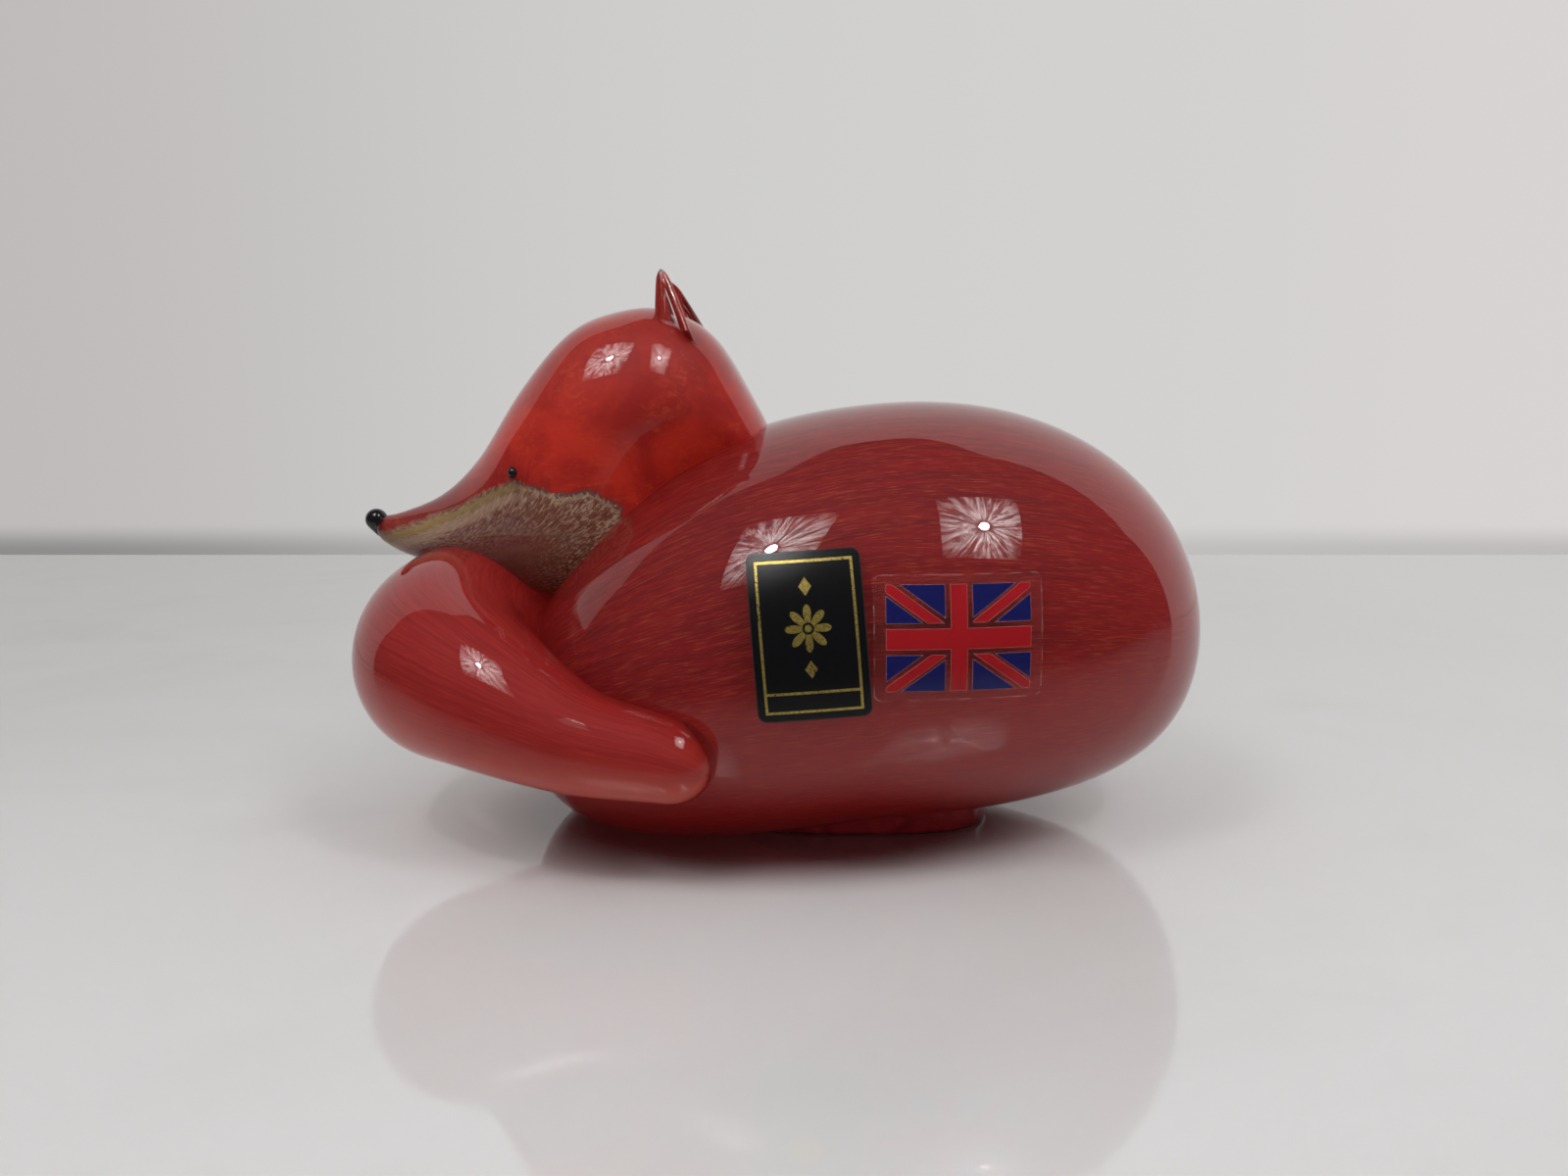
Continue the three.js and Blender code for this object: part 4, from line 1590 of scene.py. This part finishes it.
@dataclass(frozen=True)
class Ear:
    """An ear: a pulled point of clear glass, bent into a cup, over red glass with a clear window.

    Its hand is -1 on the near side and 1 on the far side. Near its root its rear rim is tucked in
    towards the head. The window's sizes are shares of the flat sheet that is bent.
    """

    hand: int
    window_middle: float = 0.1
    window_half_width: float = 0.28
    window_from: float = 0.3
    window_to: float = 0.89
    window_point: float = 0.7
    window_end: float = -0.05
    red_span: float = 0.97
    red_from: float = 0.1
    red_to: float = 0.992
    inset: float = 0.14
    x: float = -0.515
    spread: float = 0.7
    height: float = 13.0
    root: float = 6.0
    lean_forward: float = 3.0
    lean_in: float = 4.4
    half_width: float = 4.7
    cup: float = 3.6
    wall: float = 1.2
    front_rim: float = 2.6
    rear_rim: float = 1.35
    tip_round: float = 1.6
    taper: float = 0.8
    squareness: float = 0.6
    fineness: int = 72
    tuck: float = 1.5
    tuck_from: float = 3.4
    turn: float = math.radians(60)
    bend: float = math.radians(80)

    @property
    def opening(self) -> Vector:
        """The way that the cup opens."""
        return Vector((-math.cos(self.turn), self.hand * math.sin(self.turn), 0))

    @property
    def edgewise(self) -> Vector:
        """The way across the cup, towards its rear rim."""
        return Vector((math.sin(self.turn), self.hand * math.cos(self.turn), 0))

    def middle(self, u: float, theta: float, offset: float = 0.0) -> Vector:
        """A point of the bent sheet.

        Args:
            u: 0 at the root, 1 at the tip.
            theta: The angle round the bend, from the front rim to the rear one.
            offset: How far off the sheet's middle, outwards.

        Returns:
            The point.
        """
        ring = HEAD.ring_at(self.x * BODY.half_length)
        length = self.height + self.root
        taper = (1 - u) ** self.taper * rounded_off((1 - u) * length, self.tip_round)
        rise = u * length - self.root
        if rise < 0:
            taper *= rounded_off(u * length, self.root)
        lean = max(0.0, rise) / self.height
        tucked = self.tuck * max(0.0, self.tuck_from - rise) * max(0.0, math.sin(theta))
        out = self.spread * ring.half_width - self.lean_in * lean - tucked
        sine, cosine = math.sin(theta), math.cos(theta)
        normal = Vector((self.cup * sine, self.half_width * cosine)).normalized()
        across = self.half_width * taper * sine + normal.x * offset
        deep = self.cup * taper * (0.5 - cosine) - normal.y * offset
        seat = ring.centre.z + ring.half_height * math.sqrt(1 - self.spread**2)
        x = self.x * BODY.half_length - self.lean_forward * lean
        place = Vector((x, self.hand * out + HEAD.plane_y, seat + rise))
        return place + self.edgewise * across + self.opening * deep

    def plate(self) -> BMesh:
        """The flat sheet before it is bent.

        Returns:
            A mesh whose x goes from rim to rim and y through the wall, each from -1 to 1, and
            whose z goes from 0 at the root to 1 at the tip.
        """
        bm = bmesh.new()
        fine = self.fineness
        bmesh.ops.create_uvsphere(bm, u_segments=fine, v_segments=fine, radius=1.0)
        for vert in bm.verts:
            u = 1 - math.acos(clamp(vert.co.z, -1, 1)) / math.pi
            phi = math.atan2(vert.co.y, vert.co.x)
            across = signed_power(math.cos(phi), self.squareness)
            vert.co = Vector((across, signed_power(math.sin(phi), self.squareness), u))
        return bm

    def bend_plate(self, bm: BMesh, inset: float = 0.0) -> None:
        """Bends a flat sheet into the cup, as thick as the ear is there.

        Args:
            bm: The sheet.
            inset: How much thinner it is on each side.
        """
        length = self.height + self.root
        for vert in bm.verts:
            across, through, u = vert.co
            theta = across * self.bend
            rim = self.front_rim if across < 0 else self.rear_rim
            wall = self.wall + (rim - self.wall) * abs(math.sin(theta))
            tip = rounded_off((1 - u) * length, self.tip_round)
            end = min(tip, rounded_off(u * length, self.root))
            vert.co = self.middle(u, theta, max(0.0, wall / 2 - inset) * through * end)

    def skin(self) -> BMesh:
        """The clear glass, cut off where it is fused to the head.

        Returns:
            Its mesh.
        """
        bm = self.plate()
        self.bend_plate(bm)
        face_outwards(bm)
        cut_away_inside(bm, HEAD.depth)
        return bm

    def red_layer(self) -> BMesh:
        """The red glass inside the clear, with a leaf-shaped window right through it.

        Returns:
            Its mesh.
        """
        bm = self.plate()
        cut_away_inside(bm, self.in_window, 0.0)
        bmesh.ops.bridge_loops(bm, edges=[edge for edge in bm.edges if edge.is_boundary])
        for vert in bm.verts:
            vert.co.x *= self.red_span
            vert.co.z = self.red_from + (self.red_to - self.red_from) * vert.co.z
        self.bend_plate(bm, self.inset)
        face_outwards(bm)
        return bm

    def in_window(self, flat: Vector) -> float:
        """How deep a point is in the window's leaf.

        Args:
            flat: A point of the flat sheet.

        Returns:
            Its depth, below 0 outside the leaf.
        """
        share = (flat.z - self.window_from) / (self.window_to - self.window_from)
        leaf = self.window_end
        if 0 < share < 1:
            leaf = math.sin(math.pi * share) ** self.window_point
        return self.window_half_width * leaf - abs(flat.x - self.window_middle)


@dataclass(frozen=True)
class Head:
    """The head: clear glass over an orange-red core, with muzzle, ears, nose and eyes."""

    casing: float = 1.8
    gap: float = 0.3
    along: int = 110
    around: int = 96
    muzzle_margin: float = 2.5
    muzzle_proud: float = 0.06
    muzzle_thickness: float = 0.03
    muzzle_edge: tuple[Point, ...] = (
        (-1.63, 1.36), (-1.41, 1.385), (-1.3, 1.43), (-1.18, 1.5), (-1.06, 1.6), (-0.98, 1.65),
        (-0.83, 1.6), (-0.75, 1.61), (-0.675, 1.53), (-0.69, 1.41), (-0.77, 1.2), (-0.92, 0.9),
        (-1.63, 0.9),
    )
    nose_radius: float = 1.8
    nose_around: int = 40
    nose_along: int = 28
    nose_drip: float = 1.1
    nose_taper: float = 0.5
    nose_ahead: float = 0.14
    nose_above: float = 1.2
    drip_tilt: float = math.radians(-10)
    eye_x: float = -0.981
    eye_rise: float = 0.2
    eye_radius: float = 0.9
    eye_around: int = 28
    eye_along: int = 20
    eye_proud: float = 0.35
    eye_shape: Triple = (0.96, 1.0, 1.02)
    eye_unevenness: float = 0.05
    eye_lumps: float = 0.9
    eye_apart: float = 5.0
    ears: tuple[Ear, Ear] = (
        Ear(-1),
        Ear(
            1, window_middle=0.42, window_half_width=0.28, window_from=0.5, window_to=0.87,
            x=-0.502, half_width=7.1, lean_forward=4.0, cup=4.4, rear_rim=1.8, tuck=1.45,
            tuck_from=6.0,
        ),
    )

    def build(self) -> None:
        """Makes the head's pieces."""
        glass = ClearGlass(name="head_clear_glass", waves=0.05, waviness=0.4, gloss=0.3).build()
        skin = closed_form(HEAD.ring, self.along, self.around)
        cut_away_inside(skin, BODY.depth)
        finish_piece("head_glass", skin, glass, "clear_glass", "head_casing")
        core = closed_form(HEAD.ring, self.along, self.around, self.casing + self.gap)
        finish_piece("head_colour", core, HeadColour().build(), "head_colour", "head_core")
        crushed = MuzzleColour().build()
        finish_piece("muzzle_colour", self.muzzle(), crushed, "pale_frit", "throat_bib")
        black = BlackGlass().build()
        finish_piece("nose_bead", self.nose(), black, "black_glass", "nose")
        clear = ClearGlass(
            name="ear_glass", tint=linear(0.97, 0.955, 0.95), bends=Bends.ALL_BUT_LAMPLIGHT
        ).build()
        red = HeadColour(name="ear_red").build()
        for ear, side in zip(self.ears, ("left", "right"), strict=True):
            eye = self.eye(ear.hand)
            finish_piece(f"eye_bead_{side}", eye, black, "black_glass", f"eye_{side}")
            finish_piece(f"pulled_ear_{side}", ear.skin(), clear, "ear_glass", f"ear_{side}")
            finish_piece(f"ear_red_{side}", ear.red_layer(), red, "head_colour")

    def muzzle(self) -> BMesh:
        """The thin layer of crushed glass along muzzle, cheeks and throat.

        Returns:
            A mesh whose attribute "inside_edge" holds how far inside the layer's edge a point is.
        """
        wall = self.casing + self.gap - self.muzzle_proud
        bm = closed_form(HEAD.ring, self.along, self.around, wall)
        inside = bm.verts.layers.float.new("inside_edge")
        shares = (Vector(share) for share in self.muzzle_edge)
        outline = [share * Vector((BODY.half_length, BODY.half_height)) for share in shares]
        for vert in bm.verts:
            vert[inside] = inside_outline(Vector((vert.co.x, vert.co.z)), outline)
        far_out = [v for v in bm.verts if v[inside] < -self.muzzle_margin]
        bmesh.ops.delete(bm, geom=far_out, context="VERTS")
        bmesh.ops.solidify(bm, geom=bm.faces[:], thickness=self.muzzle_thickness)
        return bm

    def nose(self) -> BMesh:
        """The bead on the snout's end, with its short drawn-down drip.

        Returns:
            The bead's mesh.
        """
        bm = bmesh.new()
        around, along = self.nose_around, self.nose_along
        radius = self.nose_radius
        bmesh.ops.create_uvsphere(bm, u_segments=around, v_segments=along, radius=radius)
        for vert in bm.verts:
            low = max(0.0, -vert.co.z / radius)
            vert.co.z -= self.nose_drip * low**3
            narrow = 1 - self.nose_taper * low**3
            vert.co.x *= narrow
            vert.co.y *= narrow
        bmesh.ops.rotate(bm, matrix=Matrix.Rotation(self.drip_tilt, 3, "Y"), verts=bm.verts)
        tip = HEAD.ring(0.0).centre
        place = (tip.x - self.nose_ahead, HEAD.plane_y, tip.z + self.nose_above)
        bmesh.ops.translate(bm, vec=place, verts=bm.verts)
        return bm

    def eye(self, hand: int) -> BMesh:
        """An eye: a dot of molten glass, set flat into the side of the head.

        Args:
            hand: -1 for the near side, 1 for the far side.

        Returns:
            The eye's mesh.
        """
        ring = HEAD.ring_at(self.eye_x * BODY.half_length)
        level = (1 - self.eye_rise**ring.fullness) ** (1 / ring.fullness)
        reach = ring.half_width * level - self.eye_radius + self.eye_proud
        z = ring.centre.z + self.eye_rise * ring.half_height
        bm = bmesh.new()
        around, along = self.eye_around, self.eye_along
        bmesh.ops.create_uvsphere(
            bm, u_segments=around, v_segments=along, radius=self.eye_radius
        )
        apart = Vector((0, 0, self.eye_apart * hand))
        for vert in bm.verts:
            lump = noise.noise(vert.co * self.eye_lumps + apart)
            vert.co *= 1 + self.eye_unevenness * lump
        bmesh.ops.scale(bm, vec=self.eye_shape, verts=bm.verts)
        place = (ring.centre.x, HEAD.plane_y + hand * reach, z)
        bmesh.ops.translate(bm, vec=place, verts=bm.verts)
        return bm


@dataclass(frozen=True)
class Sticker:
    """A thin sticker that follows the near flank. Its middle is a share of the body."""

    x: float
    z: float
    width: float
    height: float
    corner: float
    tilt: float
    thickness: float = 0.1
    clearance: float = 0.04
    cell: float = 0.8
    corner_steps: int = 8

    def build(self) -> BMesh:
        """Makes the sticker's mesh.

        Returns:
            A mesh with two attributes: "print" is the point's place on the flat sticker, and
            "rim" its distance from the sticker's edge.
        """
        bm = bmesh.new()
        printed = bm.verts.layers.float_vector.new("print")
        rim = bm.verts.layers.float.new("rim")
        bmesh.ops.create_grid(bm, x_segments=1, y_segments=1, size=0.5)
        bmesh.ops.scale(bm, vec=(self.width, self.height, 1), verts=bm.verts)
        bmesh.ops.bevel(
            bm, geom=bm.verts[:], offset=self.corner, segments=self.corner_steps, profile=0.5,
            affect="VERTICES", material=-1,
        )
        self.cut_across(bm, Vector((1, 0, 0)), self.width)
        self.cut_across(bm, Vector((0, 1, 0)), self.height)
        edge = [v.co.xy.copy() for v in self.boundary(bm)]
        lean = Matrix.Rotation(math.radians(self.tilt), 2)
        middle = Vector((self.x * BODY.half_length, self.z * BODY.half_height))
        for vert in bm.verts:
            flat = vert.co.xy.copy()
            vert[printed] = vert.co.copy()
            vert[rim] = max(0.0, inside_outline(flat, edge))
            at = middle + lean @ flat
            vert.co = Vector((at.x, BODY.near_flank(at.x, at.y, self.clearance), at.y))
        bmesh.ops.recalc_face_normals(bm, faces=bm.faces)
        if sum(face.normal.y for face in bm.faces) > 0:
            bmesh.ops.reverse_faces(bm, faces=bm.faces)
        bmesh.ops.solidify(bm, geom=bm.faces[:], thickness=-self.thickness)
        return bm

    def cut_across(self, bm: BMesh, direction: Vector, size: float) -> None:
        """Cuts the sheet into strips, so that it can bend.

        Args:
            bm: The sheet.
            direction: The way across the strips.
            size: The sheet's size that way.
        """
        strips = round(size / self.cell)
        for i in range(1, strips):
            at = direction * (size * (i / strips - 0.5))
            geometry = [*bm.verts, *bm.edges, *bm.faces]
            bmesh.ops.bisect_plane(bm, geom=geometry, plane_co=at, plane_no=direction)

    def boundary(self, bm: BMesh) -> list[bmesh.types.BMVert]:
        """Walks round the sheet's edge.

        Args:
            bm: The sheet.

        Returns:
            The vertices of the edge in order.
        """
        loop = next(e for e in bm.edges if e.is_boundary)
        found = [loop.verts[0], loop.verts[1]]
        while True:
            edges = [e for e in found[-1].link_edges if e.is_boundary]
            onward = [e.other_vert(found[-1]) for e in edges]
            fresh = [v for v in onward if v is not found[-2]]
            if not fresh or fresh[0] is found[0]:
                return found
            found.append(fresh[0])


@dataclass(frozen=True)
class Stickers:
    """The upright black label and the clear film with the flag."""

    label: Sticker = Sticker(x=-0.16, z=1.08, width=15.4, height=22.4, corner=1.2, tilt=4.8)
    flag: Sticker = Sticker(
        x=0.208, z=1.08, width=22.8, height=16.8, corner=0.9, tilt=0.6, thickness=0.08
    )

    def build(self) -> None:
        """Makes both stickers."""
        label, flag = self.label, self.flag
        paper = LabelFoil(half_width=label.width / 2, half_height=label.height / 2).build()
        finish_piece("gold_lined_label", label.build(), paper, "label_foil", "black_label")
        film = FlagFilm().build()
        finish_piece("flag_film", flag.build(), film, "sticker_film", "flag_sticker")


# Studio


@dataclass(frozen=True, kw_only=True)
class LampCloth(Finish):
    """Lit white cloth round a bright bulb, with folds that fan out from it.

    Distances are shares of the way from the bulb to the hood's edge.
    """

    width: float
    depth: float
    strength: float
    white: Colour = linear(1.0, 0.98, 0.98)
    fold_drift: float = 0.22
    folds: Cloud = Cloud(7.0, 5.0, 0.8)
    fold_edge: Span = (0.44, 0.6)
    fold_light: Slope = (1.0, 0.1)
    arms: Slope = (2.0, 0.8)
    arm_edge: Span = (0.985, 1.0)
    arm_shade: Slope = (-0.7, 1.0)
    fade: Span = (1.5, 0.18)
    round_bulb: Span = (0.1, 0.3)
    bulb_edge: Span = (0.125, 0.105)
    bulb_light: float = 12.0

    def shader(self, tree: Tree) -> Socket:
        """Light from the front, and none from the back.

        Args:
            tree: The material's tree.

        Returns:
            The shader.
        """
        to_edge = (2 / (self.width * MM), 2 / (self.depth * MM), 0.0)
        place = stretched(tree, place_on_object(tree), to_edge)
        x, y, _ = split(tree, place)
        reach, angle = length_of(tree, place), maths(tree, "ARCTAN2", y, x)
        cosine, sine = maths(tree, "COSINE", angle), maths(tree, "SINE", angle)
        round_it = joined(tree, cosine, sine, product(tree, reach, self.fold_drift))
        folds = stepped(tree, self.folds.over(tree, round_it), *self.fold_edge)
        arms = size_of(tree, maths(tree, "SINE", scaled(tree, angle, *self.arms)))
        arms = scaled(tree, stepped(tree, arms, *self.arm_edge), *self.arm_shade)
        fade = stepped(tree, reach, *self.fade)
        fall = product(tree, fade, stepped(tree, reach, *self.round_bulb))
        light = product(tree, scaled(tree, folds, *self.fold_light), fall, arms)
        light = scaled(tree, stepped(tree, reach, *self.bulb_edge), self.bulb_light, light)
        glow = glowing(tree, self.white, product(tree, light, self.strength))
        back = add_node(tree, "ShaderNodeNewGeometry").outputs["Backfacing"]
        return either(tree, back, glow, glowing(tree, BLACK))


@dataclass(frozen=True, kw_only=True)
class TableLaminate(Finish):
    """Pale glossy laminate, painted lighter at the right where more light falls, with a painted
    deep red shade under the belly.
    """

    name: str = "table_laminate"
    pale: Colour = linear(0.64, 0.645, 0.64)
    smeared: Colour = linear(0.6, 0.61, 0.6)
    smears: Cloud = Cloud(0.011, 4.0, 0.6, 0.8)
    smear_edge: Span = (0.45, 0.75)
    # painted light: the laminate is lighter towards the right, where more light falls
    right: Wash = Wash(linear(0.73, 0.74, 0.735), 60.0, 260.0)
    # painted shade under the belly, reddened as painted light that the red glass throws on the
    # table
    painted_shade: Wash = Wash(linear(0.11, 0.036, 0.038), 1.06, 0.62)
    shade_size: Point = (52.0, 37.0)
    shade_middle: Point = (-14.0, -2.0)
    gloss: Slope = (0.03, 0.02)
    index: float = 2.0
    dark: Colour = linear(0.05, 0.05, 0.05)
    mirrored_shade_edge: Span = (-35.0, -125.0)

    def shader(self, tree: Tree) -> Socket:
        """The laminate. In the fox's mirrored view the table nearer the camera is painted shade:
        glossy rays see it as a dark emission.

        Args:
            tree: The material's tree.

        Returns:
            The shader.
        """
        place = place_in_mm(tree)
        smear = stepped(tree, self.smears.over(tree, place), *self.smear_edge)
        x, y, _ = split(tree, place)
        # painted light: lighter towards the right
        colour = self.right.over(tree, mixed(tree, smear, self.pale, self.smeared), x)
        (width, depth), (middle_x, middle_y) = self.shade_size, self.shade_middle
        shift = (-middle_x / width, -middle_y / depth, 0.0)
        from_middle = stretched(tree, place, (1 / width, 1 / depth, 0.0), shift)
        # the base colour carries the painted shade under the belly
        surface = principled(tree, {
            "Base Color": self.painted_shade.over(tree, colour, length_of(tree, from_middle)),
            "Roughness": scaled(tree, smear, *self.gloss),
            "IOR": self.index,
        })
        # painted shade: glossy rays see the table in front of the fox as a dark emission
        painted_dark_reach = stepped(tree, y, *self.mirrored_shade_edge)
        mirrored = product(tree, seen_as(tree, "Is Glossy Ray"), painted_dark_reach)
        return either(tree, mirrored, surface, glowing(tree, self.dark))


@dataclass(frozen=True, kw_only=True)
class HungSheet(Finish):
    """A pale sheet, lighter at the right, shaded at its foot, whose lit top dips in the middle."""

    name: str = "hung_sheet"
    left: Colour = linear(0.515, 0.495, 0.49)
    right: Colour = linear(0.68, 0.655, 0.65)
    right_edge: Span = (-480.0, 420.0)
    foot: Wash = Wash(linear(0.27, 0.262, 0.26), 5.0, -11.0)
    foot_share: Slope = (-0.6, 1.0)
    middle: Colour = linear(0.654, 0.665, 0.656)
    middle_edge: Span = (420.0, 30.0)
    middle_share: float = 0.5
    lit_height: Slope = (-420.0, 1180.0)
    lit_edge: Span = (-15.0, 15.0)
    unlit: Colour = linear(0.06, 0.06, 0.06)

    def shader(self, tree: Tree) -> Socket:
        """The sheet's own light. Above its dip, only the camera sees the sheet lit.

        Args:
            tree: The material's tree.

        Returns:
            The shader.
        """
        x, _, z = split(tree, place_in_mm(tree))
        right = stepped(tree, x, *self.right_edge)
        colour = mixed(tree, right, self.left, self.right)
        colour = self.foot.over(tree, colour, z, scaled(tree, right, *self.foot_share))
        dip = stepped(tree, size_of(tree, x), *self.middle_edge)
        colour = mixed(tree, product(tree, dip, self.middle_share), colour, self.middle)
        below = maths(tree, "SUBTRACT", scaled(tree, dip, *self.lit_height), z)
        lit = most(tree, stepped(tree, below, *self.lit_edge), seen_as(tree, "Is Camera Ray"))
        return glowing(tree, mixed(tree, lit, self.unlit, colour))


def rectangle(half_width: float, half_depth: float) -> BMesh:
    """A flat rectangle in millimetres, which lies on the table.

    Args:
        half_width: Half its size along x.
        half_depth: Half its size along y.

    Returns:
        The mesh.
    """
    bm = bmesh.new()
    bmesh.ops.create_grid(bm, x_segments=1, y_segments=1, size=1.0)
    bmesh.ops.scale(bm, vec=(half_width, half_depth, 1), verts=bm.verts)
    return bm


@dataclass(frozen=True)
class Lamp:
    """A lamp hood: a bright bulb in the middle of crumpled white cloth."""

    name: str
    place: Triple
    aim: Triple
    width: float
    depth: float
    strength: float
    roll: float

    def build(self) -> None:
        """Hangs the lamp over the table."""
        cloth = LampCloth(
            name=self.name + "_cloth", width=self.width, depth=self.depth, strength=self.strength
        )
        lamp = new_object(self.name, rectangle(self.width / 2, self.depth / 2), cloth.build())
        heading = (Vector(self.aim) - Vector(self.place)).normalized()
        aside = (Vector((1, 0, 0)) - heading * heading.x).normalized()
        turn = Matrix((aside, heading.cross(aside), heading)).transposed().to_4x4()
        rolled = turn @ Matrix.Rotation(self.roll, 4, "Z")
        lamp.matrix_world = Matrix.Translation(Vector(self.place) * MM) @ rolled
        lamp.visible_camera = False


@dataclass(frozen=True)
class Studio:
    """A pale glossy table, a pale sheet behind it, two lamps and the camera.

    The camera's focal length is in pixels of a frame that is as wide as frame_width.
    """

    table_end: float = 335.0
    table_reach: float = 3000.0
    sheet_behind: float = 100.0
    sheet_half_width: float = 1900.0
    sheet_half_height: float = 700.0
    sheet_middle: float = 620.0
    lamps: tuple[Lamp, ...] = (
        Lamp("lamp_left", (-125, -150, 300), (-20, -20, 40), 125, 190, 13.0, 0.25),
        Lamp("lamp_right", (125, -165, 330), (20, -20, 45), 125, 215, 13.0, -0.1),
    )
    room_light: Colour = linear(0.62, 0.62, 0.62)
    room_mirrored: Colour = linear(0.05, 0.05, 0.05)
    room_seen: Colour = linear(0.6, 0.59, 0.585)
    eye_point: Triple = (-12.0, -197.5, 67.5)
    looks_down: float = math.radians(8.8)
    focal_length: float = 1230.0
    frame_width: float = 1600.0
    sensor_width: float = 36.0
    bounces: int = 10
    glass_bounces: int = 8
    clear_bounces: int = 12

    def build(self) -> None:
        """Sets up table, sheet, lamps, surroundings and camera."""
        self.table()
        self.sheet()
        for lamp in self.lamps:
            lamp.build()
        self.surroundings()
        self.camera()
        scene = bpy.context.scene
        scene.view_settings.view_transform = "Standard"
        scene.cycles.use_denoising = True
        scene.cycles.max_bounces = self.bounces
        scene.cycles.transmission_bounces = self.glass_bounces
        scene.cycles.transparent_max_bounces = self.clear_bounces

    def table(self) -> None:
        """The table top, which ends behind the fox."""
        bm = rectangle(self.table_reach, (self.table_reach + self.table_end) / 2)
        middle = (0, (self.table_end - self.table_reach) / 2, 0)
        bmesh.ops.translate(bm, vec=middle, verts=bm.verts)
        new_object("table_top", bm, TableLaminate().build())

    def sheet(self) -> None:
        """The sheet that hangs behind the table."""
        bm = rectangle(self.sheet_half_width, self.sheet_half_height)
        bmesh.ops.rotate(bm, matrix=Matrix.Rotation(math.pi / 2, 3, "X"), verts=bm.verts)
        middle = (0, self.table_end + self.sheet_behind, self.sheet_middle)
        bmesh.ops.translate(bm, vec=middle, verts=bm.verts)
        new_object("hung_sheet", bm, HungSheet().build())

    def surroundings(self) -> None:
        """Dim surroundings, which the camera itself sees as a pale backdrop."""
        world = bpy.data.worlds.new("room")
        bpy.context.scene.world = world
        world.use_nodes = True
        tree = world.node_tree
        tree.nodes.clear()
        out = tree.nodes.new("ShaderNodeOutputWorld")
        colour = mixed(tree, seen_as(tree, "Is Glossy Ray"), self.room_light, self.room_mirrored)
        colour = mixed(tree, seen_as(tree, "Is Camera Ray"), colour, self.room_seen)
        ground = add_node(tree, "ShaderNodeBackground", {"Color": colour, "Strength": 1.0})
        tree.links.new(ground.outputs[0], out.inputs["Surface"])

    def camera(self) -> None:
        """The camera, a hand's length in front of the near flank."""
        data = bpy.data.cameras.new("camera")
        data.sensor_width = self.sensor_width
        data.lens = self.sensor_width * self.focal_length / self.frame_width
        data.clip_start = 0.01
        camera = bpy.data.objects.new("camera", data)
        camera.location = Vector(self.eye_point) * MM
        camera.rotation_euler = Euler((math.pi / 2 - self.looks_down, 0, 0))
        bpy.context.scene.collection.objects.link(camera)
        bpy.context.scene.camera = camera


def main() -> None:
    """Builds the fox and its studio."""
    logging.basicConfig(level=logging.INFO, format="%(message)s")
    for part in (Body(), Tail(), Head(), Stickers(), Studio()):
        LOG.info("building %s", type(part).__name__)
        part.build()


if __name__ == "__main__":
    main()
